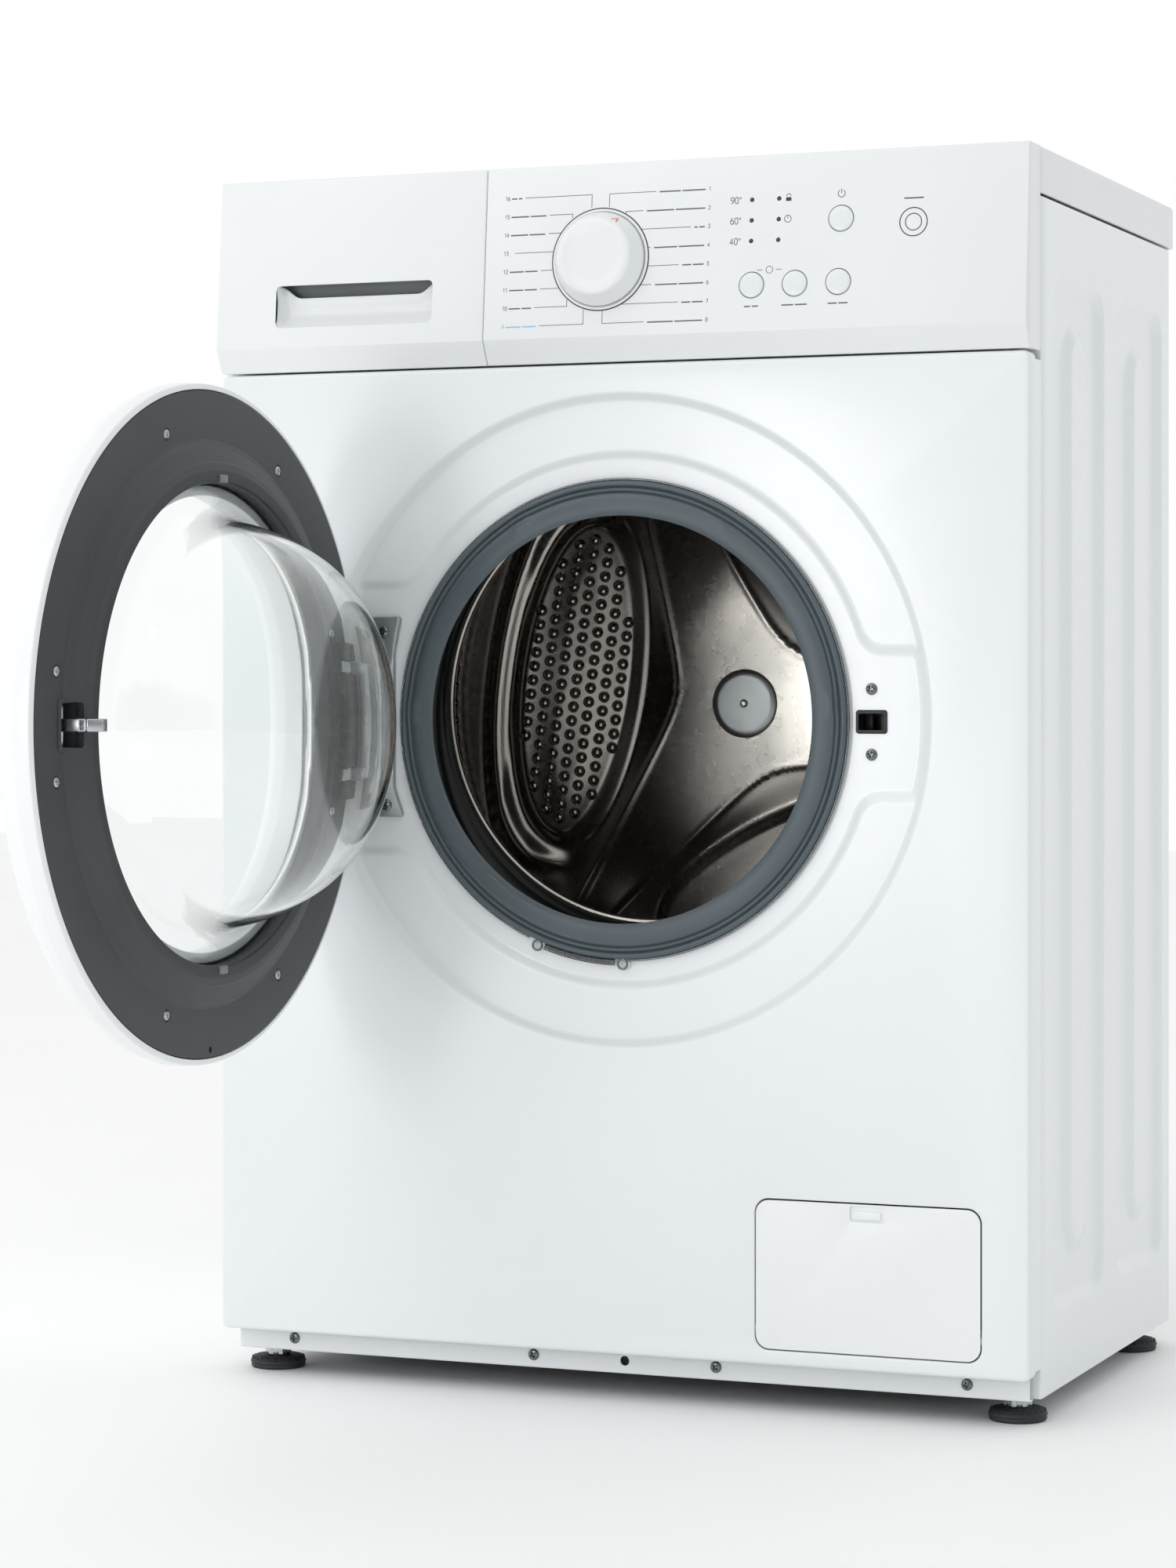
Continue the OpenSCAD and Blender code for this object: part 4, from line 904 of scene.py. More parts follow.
def control_panel():
    """Moulded fascia with the wall behind the drawer front, and the ring round the knob with a dark painted
    shadow line at its gap.
    """
    # the fascia, knob and drawer front take the darker white, painted shade for the light they catch leaning
    # back
    panel = moulded(1.0, "fascia", Shape().prism(fascia_outline(27.4), SPLIT_X, HALF_W, "yz"), "cabinet",
                    "white_plastic", "control_panel", finish=FASCIA_WHITE_PAINTED_DARKER)
    holes = [Shape().prism(fascia_outline(27.4, True), SPLIT_X + 3, HALF_W - 3, "yz"),
             rod(*KNOB, 7, -8, 8), rod(*KNOB, 35.7, -0.7, 5, 144)]
    holes += [rod(x, z, 9.0, -8, 8, 64) for x, z in BUTTONS.values()]
    holes += [rod(x, z, 1.6, -8, 8, 24) for x, z in LAMPS]
    cut(panel, *holes, angle=40)
    slab = Shape().prism(rect(15.5, 713.2, 27.4, 849.5), -HALF_W, SPLIT_X + 0.5, "yz")
    wall = moulded(0.8, "drawer_surround", slab, "cabinet", "white_plastic", "control_panel",
                   finish=FASCIA_WHITE_PAINTED_DARKER)
    cut(wall, Shape().prism(rect(-266, 721, -103, 806), 10, 30),
        Shape().prism(rect(-294.5, 809, -94.6, 846.5), 10, 23.4), angle=40)
    ring = Shape().spin([(33.0, -0.7), (33.0, 0.25), (33.4, 0.6), (34.5, 0.6), (34.9, 0.3), (34.9, -0.7)],
                        (0, 0, 0), steps=144).moved(on_face(*KNOB))
    piece("knob_bezel", ring, "cabinet", "white_plastic", "control_panel", angle=50, finish=FASCIA_WHITE_PAINTED_DARKER)
    # dark ring just outside the bezel: painted shadow of the gap round the knob
    line = Shape().spin([(34.9, -0.7), (34.9, 0.22), (35.1, 0.3), (35.7, 0.25), (35.75, -0.7)],
                        (0, 0, 0), steps=144).moved(on_face(*KNOB))
    piece("knob_gap_shadow_ring", line, "cabinet", "white_plastic", "control_panel", angle=50, finish=DARK_INK_AND_GAP_SHADOW)


def programme_knob():
    """Tapered knob with a soft-edged, slightly dished cap and its pointer."""
    profile = filleted([(0, 14.0), (17, 14.2), (22.8, 15.0), (26.6, 14.4), (29.4, 8.2), (32.3, 2.8),
                        (32.3, 0.9),
                        (6.4, 0.9), (6.4, -14), (0, -14)], [0, 20, 6, 3.5, 12, 1.0, 0.3, 0.3, 0.4, 0], 7)
    knob = Shape().spin(profile, (0, 0, 0), steps=144).moved(on_face(*KNOB))
    piece("programme_knob_body", knob, "knob", "white_plastic", "programme_knob", angle=50,
          finish=FASCIA_WHITE_PAINTED_DARKER)
    a = math.radians(60.7)
    pointer = Shape()
    corners = []
    for lift in (0.35, -1.0):
        for r, t in ((25.8, 0), (28.2, -2.3), (30.6, 0), (28.2, 2.3)):
            high = 14.4 - (r - 26.6) * 2.2 if r > 26.6 else 14.4
            corners.append((r * math.cos(a) - t * math.sin(a), r * math.sin(a) + t * math.cos(a),
                            high + lift))
    sides = [(i, (i + 1) % 4, (i + 1) % 4 + 4, i + 4) for i in range(4)]
    pointer.add(corners, [(0, 1, 2, 3), (7, 6, 5, 4)] + sides)
    piece("knob_pointer", pointer.moved(on_face(*KNOB)), "knob", "white_plastic", finish=RED_INK)


def push_buttons():
    """Four round buttons, nearly flush."""
    profile = [(0, 1.1), (5, 1.15), (7.4, 1.1), (8.1, 0.9), (8.5, 0.4), (8.6, -0.2), (8.6, -4.5),
               (10.8, -4.5), (10.8, -6.5), (0, -6.5)]
    bodies = {"power_button": "power", "option_button_a": "option_a", "option_button_b": "option_b",
              "option_button_c": "option_c"}
    for name, (x, z) in BUTTONS.items():
        shape = Shape().spin(profile, (0, 0, 0), steps=72).moved(on_face(x, z))
        piece(name + "_cap", shape, bodies[name], "button_plastic", name, angle=50)


def lamps():
    """Domed ends of the light guides."""
    shape = Shape()
    for x, z in LAMPS:
        guide = Shape().spin([(0, 0.5), (0.6, 0.42), (1.1, 0.15), (1.5, -0.5), (1.5, -9), (0, -9)], (0, 0, 0),
                             steps=24).moved(on_face(x, z))
        shape.add(guide.points, guide.faces)
    piece("lamp_lenses", shape, "cabinet", "led_lens", "light_guides", angle=50)


GRIP = (-251.5, 744, -130, 774)


def grip_depth(x, z):
    """Depth of the grip's scoop behind the fascia."""
    x0, z0, x1, _ = GRIP
    side = min(x - x0, x1 - x)
    return 11.6 * smooth(-3, 6, side) * (math.sin(math.pi / 2 * min(1, max(0, (z - z0) / 13)))) ** 0.8


def lip_height(x):
    """Height of the scoop's upper lip, which curls up at both ends."""
    side = min(x - GRIP[0], GRIP[2] - x)
    return 765.5 + 8.5 * (1 - smooth(0, 17, side)) ** 1.4


def drawer_front():
    """Drawer front with a scooped grip below a finger slot whose case is painted grey for the shade inside
    it.
    """
    x0, z0, x1, z1 = GRIP
    front = moulded(1.0, "drawer_face", Shape().prism(fascia_outline(15), -HALF_W, SPLIT_X - 0.5, "yz"),
                    "drawer", "white_plastic", "drawer_front", finish=FASCIA_WHITE_PAINTED_DARKER)
    inner = Shape().prism(fascia_outline(15, True), -HALF_W + 3, SPLIT_X - 3.5, "yz")
    mouth = round_rect(x0, z0, x1, z1, 4)
    cut(front, inner, Shape().prism(mouth, -20, 20), angle=40)
    box = Shape().prism([(face_y(742) + 0.8, 742), (face_y(792) + 0.8, 792), (14.9, 792), (14.9, 742)],
                        x0 - 2.2, x1 + 2.2, "yz")
    # the grip case is white plastic, painted grey here to stand for the shade inside the finger slot
    case = piece("grip_case", box, "drawer", "white_plastic", "drawer_front", angle=40, finish=TAB_GREY_AND_SLOT_SHADE)
    cut(case, Shape().prism(round_rect(x0, z0 - 0.5, x1, 790, 3.5), -20, 13.6), angle=40)
    scoop = Shape()
    columns = 110
    rows = []
    for j in range(31):
        row = []
        for i in range(columns + 1):
            x = x0 - 0.6 + (x1 - x0 + 1.2) * i / columns
            top = lip_height(x)
            v = j / 24
            if v <= 1:
                z = z0 + (top - z0) * v
                y = face_y(z) + 0.6 + grip_depth(x, z) - 2.5 * smooth(0.55, 1, v)
            else:
                t = (j - 24) / 6
                z = top - 6 * t * t + 0.8 * math.sin(math.pi * t)
                curl = 1.8 * math.sin(math.pi / 2 * min(1, t * 1.6))
                y = face_y(top) + 0.6 + grip_depth(x, top) - 2.5 + curl
            row.append((x, y, z))
        rows.append(row)
    scoop.grid(rows)
    dish = piece("grip_scoop", scoop, "drawer", "white_plastic", "drawer_front", angle=60,
                 finish=FASCIA_WHITE_PAINTED_DARKER)
    face_to(dish, (0, -1, 0))
    thicken(dish, 0.8, 60)
    bores = [Shape().plug(1.3, -6, 4, (-219.5 + 13.9 * i, 8.6, 765.5), steps=16) for i in range(6)]
    cut(dish, *bores, angle=60)


control_panel()
programme_knob()
push_buttons()
lamps()
drawer_front()
prints()


# ---------------------------------------------------------------------- door

def turned(profile):
    """A (radius, distance behind the ring's plane) profile as (radius, Y)."""
    return [(r, RING_Y + d) for r, d in profile]


def hinge_side():
    """Block that trims the door along its straight hinge side."""
    return opened(Shape().prism(rect(TRIM_X - 60, -200, TRIM_X, 200), 200, 740, "xy"))


def door_shell():
    """White outer ring of the door with its round window."""
    outer = filleted([(219, 0), (222.8, -1.5), (223.5, -12), (221, -20), (213, -30), (200, -38), (185, -42),
                      (170, -42), (159, -38), (152, -30), (149, -20), (149, -5.2), (156, -5.2), (157, -26),
                      (163.5, -35), (171, -39), (184.5, -39), (198.5, -35.3), (211, -27.6), (218, -18.6),
                      (220.2, -12), (219.6, -4), (218.9, -3.4)],
                     [0.3, 1.5, 8, 14, 20, 20, 14, 8, 9, 12, 12, 0.8, 0.5, 5, 8, 8, 10, 16, 16, 10, 6, 1,
                      0.2], 4)
    shell = piece("door_shell", opened(Shape().lathe(turned(outer), DOOR, 256)), "door", "white_plastic",
                  "door_outer_frame", angle=40)
    cut(shell, hinge_side(), angle=40)
    bevel(shell, 0.5, 2, 60, 40)
    inner = [(158, -5.2), (219, -3.6), (220.4, -12), (217.6, -18.6), (211, -27), (198.5, -35), (184, -39.4),
             (171, -39.4), (163, -34.6), (158, -26)]
    wall = piece("door_shell_side", opened(Shape().lathe(turned(inner), DOOR, 256)), "door", "white_plastic",
                 "door_outer_frame", angle=40)
    cut(wall, hinge_side(), opened(Shape().prism(rect(TRIM_X + 3, -200, TRIM_X + 600, 200), 200, 740, "xy")),
        angle=40)


ARM_Z = ((424, 432.6), (501, 509.4))


def door_ring():
    """Dark inner ring with its raised band, hinge well, hook recess and knuckles."""
    profile = filleted([(218.4, 0), (186.5, 0), (184.5, 0.9), (181.5, 3.4), (172, 7.3), (170.6, 8.4),
                        (166, 9.4),
                        (158.6, 9.4), (157.8, 8), (157.8, -0.9), (160.6, -0.9), (160.6, 6), (166, 6), (171,
                                                                                                       4.2),
                        (180, 0.6), (185, -3), (217, -3), (218.4, -2)],
                       [0.9, 1.0, 1.0, 1.5, 0.6, 1.0, 1.2, 0.5, 0.5, 0, 0, 0.5, 1, 1, 1, 1, 0.5, 0.5], 4)
    ring = piece("door_ring", opened(Shape().lathe(turned(profile), DOOR, 256)), "door", "dark_ring",
                 "door_inner_ring", angle=35)
    x, z = HOOK
    holes = [hinge_side(), Shape().prism(round_rect(TRIM_X - 2, 418, -168.2, 516, 3), RING_Y, RING_Y + 20),
             Shape().prism(round_rect(x - 7.9, z - 14, x + 9.5, z + 14, 2), RING_Y - 11, RING_Y + 20),
             Shape().prism(round_rect(4.4, 250.8, 7.6, 254.6, 0.6), RING_Y - 6, RING_Y + 6)]
    for a in SCREW_ANGLES:
        holes.append(Shape().spin([(0, -5), (3.6, -5), (3.6, -0.9), (4.6, 0.3), (4.6, 3), (0, 3)],
                                  ring_point(DOOR, SCREW_R, math.radians(a), RING_Y), (0, 1, 0), 32))
    cut(ring, holes[0], *[opened(h) for h in holes[1:]], angle=35)
    box = Shape().prism(round_rect(x - 8.4, z - 16.5, x + 11.5, z + 16.5, 3), RING_Y - 13.5, RING_Y + 1.4)
    recess = moulded(1.1, "hook_recess", opened(box), "door", "dark_ring", "door_inner_ring")
    well = Shape().prism(round_rect(x - 6.7, z - 13.6, x + 9.3, z + 13.6, 2), RING_Y - 10.6, RING_Y + 9)
    cut(recess, opened(well), angle=40)
    knuckles = Shape()
    hx, hy = HINGE
    outline = ([(TRIM_X, RING_Y - 3), (hx + 4.4, RING_Y - 3)] + arc(hx, hy, 5, -20, 140, 14)
               + [(TRIM_X, hy + 4.6)])
    for low, high in ((410, 423.4), (433.2, 500.4), (510, 523)):
        knuckles.prism(outline, low, high, "xy")
    made = moulded(0.7, "door_knuckles", opened(knuckles), "door", "dark_ring", "door_inner_ring")
    cut(made, opened(Shape().prism(arc(hx, hy, 3.05, 0, 351, 39), 405, 530, "xy")), angle=40)
    tabs = Shape()
    for s in (-1, 1):
        z = DOOR[1] + s * 160.6
        tabs.prism(round_rect(DOOR[0] - 5, z - 2.6, DOOR[0] + 5, z + 2.6, 1), RING_Y + 7, RING_Y + 10.6)
    moulded(0.5, "glass_tabs", opened(tabs), "door", "dark_ring", "door_inner_ring", segments=2,
            finish=TAB_GREY_AND_SLOT_SHADE)


def door_glass():
    """Pressed glass bowl: a flange, a flared mouth and a blunt dome."""
    outside = [(170.9, -1.05), (163, -1.05), (157.5, -1.05)]
    outside += [(134.7 + 22 * (1 - math.sin(a)), 17 * (1 - math.cos(a)))
                for a in (math.radians(t) for t in range(10, 75, 8))]
    outside += [(135.5 * math.cos(a) ** 0.554, 107 * math.sin(a) ** 1.299)
                for a in (math.radians(t) for t in (14, 18, 22, 26, 31, 36, 41, 46, 51, 56, 61, 65, 69, 73,
                                                    76, 79,
                                                    82, 84.5, 87, 89))]
    inside = []
    for i, (r, d) in enumerate(outside):
        before = Vector(outside[max(i - 1, 0)])
        after = Vector(outside[min(i + 1, len(outside) - 1)])
        along = (after - before).normalized()
        if i == 0:
            along = Vector((-1, 0))
        normal = Vector((-along.y, along.x))
        inside.append((max(0.0, r + normal.x * 4), d + normal.y * 4))
    flat = [p for p in inside if p[0] > 3]
    profile = outside + [(0, 107), (0, 103)] + flat[::-1]
    shape = opened(Shape().lathe(turned(profile), DOOR, 256))
    piece("door_bowl", shape, "door", "clear_glass", "door_glass", angle=60)


def screw(shape, place, out, r, high, shank=6.0, turn=20.0):
    """A pan-head screw with a cross recess; out is the way its head looks."""
    out = Vector(out).normalized()
    frame_turn = Vector((0, 0, 1)).rotation_difference(out).to_matrix().to_4x4()
    spot = Matrix.Translation(place) @ frame_turn @ Matrix.Rotation(math.radians(turn), 4, "Z")
    head = Shape()
    rows = []
    steps = 48
    for k in range(15):
        f = k / 14
        row = []
        for i in range(steps):
            a = 2 * math.pi * i / steps
            x, y = f * math.cos(a), f * math.sin(a)
            dome = high * math.sqrt(max(0.0, 1 - (0.92 * f) ** 3.2)) if f < 0.999 else 0.15 * high
            slot = max(1 - smooth(0.09, 0.17, abs(x)) - smooth(0.46, 0.60, abs(y)),
                       1 - smooth(0.09, 0.17, abs(y)) - smooth(0.46, 0.60, abs(x)), 0)
            row.append((x * r, y * r, dome - slot * high * 0.8))
        rows.append(row)
    rows.append([(p[0], p[1], -0.05) for p in rows[-1]])
    for q, h in ((0.45, -0.05), (0.45, -shank), (0.0, -shank)):
        rows.append([(q * p[0], q * p[1], h) for p in rows[14]])
    head.grid(rows, close_u=True)
    head.moved(spot)
    return shape.add(head.points, head.faces)


def door_fittings():
    """Ring screws and the sprung hook with its pin."""
    screws = Shape()
    for i, a in enumerate(SCREW_ANGLES):
        screw(screws, ring_point(DOOR, SCREW_R, math.radians(a), RING_Y - 1.0), (0, 1, 0), 3.4, 1.5, 9,
              25 * i)
    piece("ring_screws", opened(screws), "door", "zinc_steel", "door_screws", angle=40)
    x, z = HOOK
    y = RING_Y
    outline = filleted([(x - 6, y - 9), (x + 6, y - 9), (x + 6, y + 12), (x + 1.5, y + 12.5),
                        (x + 1.5, y + 15),
                        (x + 6, y + 17), (x + 1.2, y + 26), (x - 4, y + 26), (x - 6, y + 22)],
                       [1, 1, 0.8, 0.8, 0.8, 0.8, 0.8, 1.2, 1.5], 4)
    hook = piece("hook_body", opened(Shape().prism(outline, z - 4, z + 4, "xy")), "hook", "zinc_steel",
                 "door_hook",
                 angle=40)
    bevel(hook, 0.7, 3, 40, 40)
    pin = Shape().spin([(0, -15), (1.7, -15), (2, -14.6), (2, 14.6), (1.7, 15), (0, 15)], (x, y - 5, z),
                       steps=24)
    piece("hook_pin", opened(pin), "hook", "zinc_steel", "door_hook", angle=40)


def hinge():
    """Die-cast hinge plate with two arms, its screws and the pin."""
    plate = filleted([(-184, 540), (-159, 540), (-164.4, 514), (-164.4, 420), (-157, 399), (-182, 399)],
                     [2.5, 2.5, 14, 14, 2.5, 2.5], 6)
    moulded(1.0, "hinge_plate", Shape().prism(plate, 5, 9), "cabinet", "grey_casting", "hinge_bracket")
    x, y = HINGE
    body = filleted([(-181.8, -11.5), (-170.5, -11.5), (-169.2, 5.5), (-181.8, 5.5)], [2.5, 3.5, 0, 0], 6)
    moulded(1.4, "hinge_block", Shape().prism(body, 424.4, 509.0, "xy"), "cabinet", "grey_casting",
            "hinge_bracket")
    arms = Shape()
    outline = ([(-174, -3.4), (x + 5.5, -3.4)] + arc(x, y, 6.5, 90, 270, 24)[1:]
               + [(x + 3, -11.9), (-174, -11.9)])
    for low, high in ARM_Z:
        arms.prism(outline, low, high, "xy")
    made = moulded(0.8, "hinge_arms", arms, "cabinet", "grey_casting", "hinge_bracket")
    cut(made, Shape().prism(arc(x, y, 3.06, 0, 351, 39), 415, 520, "xy"), angle=40)
    marks = Shape().prism(filleted([(-176, 518.5), (-173, 518.5), (-170.6, 521), (-173, 523.6),
                                    (-176, 523.6)],
                                   [0.3, 1, 1.6, 1, 0.3], 4), 4.55, 5.2)
    marks.prism(round_rect(-178, 412, -171, 415, 1), 4.6, 5.2)
    piece("hinge_marks", marks, "cabinet", "grey_casting", "hinge_bracket", angle=40)
    pin = Shape().spin([(0, 0), (2.6, 0), (3, 0.5), (3, 110.5), (2.6, 111), (0, 111)], (x, y, 411), steps=32)
    piece("hinge_pin_rod", pin, "door", "zinc_steel", "hinge_pin", angle=40)
    screws = Shape()
    for px, pz, turn in ((-172, 529, 10), (-170, 407.5, 60)):
        screw(screws, (px, 5.0, pz), (0, -1, 0), 4.2, 1.9, 3.6, turn)
    for pz, turn in ((489, 35), (445, 70)):
        screw(screws, (186, 9.0, pz), (0, -1, 0), 4.0, 1.9, 13, turn)
    for px, turn in ((-249, 0), (-64, 30), (71, 50), (249, 15)):
        screw(screws, (px, 20.0, 26), (0, -1, 0), 4.0, 1.8, 4.5, turn)
    piece("pan_head_screws", screws, "cabinet", "zinc_steel", "cabinet_screws", angle=40, finish=CLAMP_STEEL)


def door_lock():
    """Lock body behind the panel with its framed slot."""
    x, z = HOOK
    rim = Shape().prism(round_rect(x - 10.9, z - 7.4, x + 10.9, z + 7.4, 1.2), 7.6, 12)
    bezel = moulded(0.6, "lock_bezel", rim, "cabinet", "black_plastic", "door_lock")
    cut(bezel, Shape().prism(round_rect(x - 9, z - 5.6, x + 9, z + 5.6, 0.8), 0, 30), angle=40)
    case = Shape().prism(filleted(rect(x - 17, z - 36, x + 28, z + 36), 4, 5), 10.1, 33)
    body = moulded(0.8, "lock_body", case, "cabinet", "black_plastic", "door_lock", segments=2)
    ledge = Shape().prism(round_rect(x - 9, z - 6, x + 9, z + 6, 0.8), 2, 30)
    cut(body, ledge, *[Shape().plug(1.75, -1, 17, (x, 9, z + s), (0, 1, 0), 20) for s in (-22, 22)], angle=40)
    slider = Shape().prism(rect(x - 8.8, z - 5.8, x - 3, z + 5.8), 21, 27)
    moulded(0.8, "lock_slider", slider, "cabinet", "black_plastic", "door_lock", segments=2)


door_shell()
door_ring()
door_glass()
door_fittings()
hinge()
door_lock()


# ---------------------------------------------------------- gasket and drum

GASKET_TABS = (118, 62, 178, 4)


def gasket():
    """Porthole gasket: a beaded front with fine grooves, a wide lip, and a fold back to the tub."""
    front = [(163.4, 8.8), (164.2, 6.6), (164.1, 4.4), (163.2, 2.8), (161.9, 2.0), (160.6, 2.4), (160.1, 3.7),
             (159.5, 4.3), (158.9, 3.7), (158.3, 2.6), (157.5, 2.3), (156.8, 2.8), (156.4, 3.9), (155.9, 4.2),
             (155.3, 3.4), (154.4, 2.6), (151, 2.0), (147, 1.6), (143.4, 1.7), (140.8, 2.3), (139.8, 3.2)]
    back = filleted([(139.6, 4.6), (141.0, 6.0), (147, 6.6), (154.2, 11), (152.6, 22), (153.4, 31), (158, 38),
                     (165.4, 41.8), (166, 57), (169.8, 57), (169.8, 43.6), (173.2, 43.6), (173.2,
                                                                                           51), (177.5, 51),
                     (177.5, 40), (174, 37.5), (167, 36.5), (160, 33), (157, 28), (157, 22.5), (161.5, 21),
                     (161.5, 17.3), (157.8, 17.3), (157.8, 9.2)],
                    [0.8, 1, 3, 3, 20, 8, 8, 3, 1, 1, 0.5, 0.5, 1, 1, 2, 2, 4, 4, 3, 2, 1, 0.5, 0.5, 0.5], 4)
    shape = Shape()
    steps = 360
    rows = []
    for k, (r, y) in enumerate(front + back):
        row = []
        for i in range(steps):
            t = 360 * i / steps
            a = math.radians(t)
            lift = 0.0
            if k < len(front) and 154.0 < r < 161.0:
                for tab in GASKET_TABS:
                    off = abs((t - tab + 180) % 360 - 180)
                    lift = max(lift, 1.5 * (1 - smooth(2.4, 3.6, off)) * (1 - smooth(157.5, 160.8, abs(r))))
            row.append(ring_point(PORT, r, a, y - lift))
        rows.append(row)
    shape.grid(rows, close_u=True, close_v=True)
    made = piece("gasket_rubber", shape, None, "grey_rubber", "gasket", angle=60)
    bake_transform(made)


def gasket_clamp():
    """Clamp wire round the gasket, drawn together by a coil spring between two eyes."""
    y = 5.4
    shape = Shape()
    path = [ring_point(PORT, 164.9, math.radians(t), y) for t in range(-88, 248, 2)]
    shape.tube(path, 0.9, 8)
    for t in (-89.2, -111.3):
        x, _, z = ring_point(PORT, 167.6, math.radians(t), y)
        loop = [ring_point((x, z), 3.4, b, y - 0.5) for b in turns(24)]
        shape.tube(loop, 0.85, 8, closed=True)
    coil = []
    windings, each = 38, 12
    for i in range(windings * each + 1):
        f = i / (windings * each)
        a = math.radians(-109.6 + 18.4 * f)
        b = 2 * math.pi * i / each
        r = 166.4 + 2.1 * math.cos(b)
        coil.append(ring_point(PORT, r, a, y + 2.1 * math.sin(b)))
    shape.tube(coil, 0.42, 6)
    piece("gasket_wire", shape, "cabinet", "zinc_steel", "gasket_clamp", angle=60, finish=CLAMP_STEEL)


def drum_shell():
    """Drum wall with rows of pressed round holes, its front flange and rolled rim."""
    shape = Shape()
    cells, rows, low, high = 112, 14, 74.0, 256.0
    deep = (high - low) / rows
    step = 2 * math.pi / cells
    R = 231.4

    for j in range(rows):
        y0, y1 = low + j * deep, low + (j + 1) * deep
        ym = (y0 + y1) / 2
        for i in range(cells):
            a0 = (i + (0.5 if j % 2 else 0)) * step
            am, a1 = a0 + step / 2, a0 + step
            rim = [(a0, y0), (am, y0), (a1, y0), (a1, ym), (a1, y1), (am, y1), (a0, y1), (a0, ym)]
            points = [ring_point(DRUM, R, a, y) for a, y in rim]
            for r, back in ((3.0, 0.0), (2.3, 0.3), (2.0, 1.3)):
                for a, y in rim:
                    angle = math.atan2(y - ym, (a - am) * R)
                    points.append(ring_point(DRUM, R + back, am + r * math.cos(angle) / R,
                                             ym + r * math.sin(angle)))
            shape.add(points, [(b + k, b + (k + 1) % 8, b + 8 + (k + 1) % 8, b + 8 + k)
                               for b in (0, 8, 16) for k in range(8)])
    # the wall takes the darker steel, painted shade for the dim inside of the drum
    piece("drum_wall", shape, "drum", "stainless", "drum_shell", angle=50, weld=0.02, finish=WALL_STEEL_PAINTED_DARK)
    ends = Shape().lathe(filleted([(R, 74.2), (R, 66), (200, 66.6), (160, 65.4), (153, 64.0)],
                                  [0, 7, 30, 4, 0], 6,
                                  closed=False), DRUM, 224, closed=False)
    ends.lathe([(R, 255.8), (R, 264)], DRUM, 224, closed=False)
    front = piece("drum_front_flange", ends, "drum", "stainless", "drum_shell", angle=50)
    thicken(front, 0.7, 50)
    rim = Shape().lathe([(152.2 + 2.7 * math.cos(a), 63.2 + 2.7 * math.sin(a))
                         for a in (math.radians(t) for t in range(0, 360, 20))], DRUM, 224)
    piece("drum_rim", rim, "drum", "stainless", "drum_shell", angle=60)


def pad_distance(u, v, a=42.0, b=121.0):
    """Signed distance from a pad's oval outline, roughly."""
    f = math.hypot(u / a, v / b)
    if f < 0.1:
        return -a * (1 - f)
    return f * (f - 1) / math.hypot(u / (a * a), v / (b * b))


def back_depth(x, z):
    """Y of the drum's pressed back sheet at a place given from the drum's axis."""
    r = math.hypot(x, z)
    star = 258.6 + 3.6 * (max(r - 24, 0) / 166) ** 1.3
    y = star
    for k in range(3):
        a = math.radians(PAD_ANGLE + 120 * k)
        u = x * math.cos(a) + z * math.sin(a) - 132
        v = -x * math.sin(a) + z * math.cos(a)
        pad = pad_distance(u, v)
        edge = (-u - 88 + 0.40 * math.hypot(v, 20)) / 1.08
        if edge > 12:
            continue
        out = max(-46, min(46, u))
        face = 248 - 0.22 * out - 0.0012 * out * out - 1.2 * (1 - smooth(-40, -6, pad))
        floor = 264 - 4.0 * smooth(0, 1, max(pad, 0) / (max(pad, 0) + max(-edge, 0.01)))
        inner = face + (floor - face) * smooth(-5, 9, pad)
        outer = (face + 9.5 * smooth(-5, 10, pad) - 6.5 * math.exp(-((pad - 18) / 6.0) ** 2)
                 + 6 * smooth(22, 36, pad))
        here = inner + (outer - inner) * smooth(-14, 26, u)
        here -= 1.3 * math.exp(-((edge + 1) / 3.4) ** 2) * (1 - smooth(10, 40, u))
        y = min(y, here + (star - here) * smooth(-4, 4, edge)) if edge > -4 else here
    return y


def drum_back():
    """Pressed back of the drum with three bumped pads in dark valleys round a smooth star."""
    shape = Shape()
    steps = 540
    radii = [9 + 1.9 * i for i in range(117)] + [231.0]
    shape.grid([[ring_point(DRUM, r, a, back_depth(r * math.cos(a), r * math.sin(a))) for a in turns(steps)]
                for r in radii], close_u=True)
    sheet = piece("drum_back_sheet", shape, "drum", "stainless", "drum_back", angle=70, finish=BRUSHED)
    face_to(sheet, (0, -1, 0))
    thicken(sheet, 0.8, 70)
    bumps = Shape()
    dome = [(4.7, 0.35), (4.3, -0.1), (3.9, -0.9), (3.3, -1.7), (2.5, -2.35), (1.3, -2.8), (0.0, -2.9)]
    for k in range(3):
        a = math.radians(PAD_ANGLE + 120 * k)
        for col in range(-3, 4):
            for row in range(-12, 13):
                u = col * 10.9
                v = (row + (0.5 if col % 2 else 0.0)) * 10.6
                if pad_distance(u, v) > -5.5 or (k and (u < -5 or abs(v) > 60)):
                    continue
                x = (u + 132) * math.cos(a) - v * math.sin(a)
                z = (u + 132) * math.sin(a) + v * math.cos(a)
                y = back_depth(x, z)
                bumps.lathe([(r, y + d) for r, d in dome], (DRUM[0] + x, DRUM[1] + z), 16, closed=False)
    made = piece("drum_pad_bumps", bumps, "drum", "stainless", "drum_back", angle=70)
    face_to(made, (0, -1, 0))


def drum_hub():
    """Satin hub disc with its centre screw."""
    disc = filleted([(0, 256.6), (22, 256.9), (26.2, 258.6), (26.2, 262), (0, 262)], [0, 12, 2.2, 0.4, 0], 6)
    piece("hub_disc", Shape().lathe(disc, DRUM, 96), "drum", "stainless", "drum_hub_cap", angle=60,
          finish=HUB_STEEL)
    head = [(0, 255.0), (1.2, 255.05), (1.2, 255.6), (1.7, 255.6), (1.9, 255.1), (2.6, 255.4), (3.0, 256.1),
            (3.1, 257.2), (0, 257.2)]
    piece("hub_screw", Shape().lathe(head, DRUM, 40), "drum", "stainless", "drum_hub_cap", angle=50)


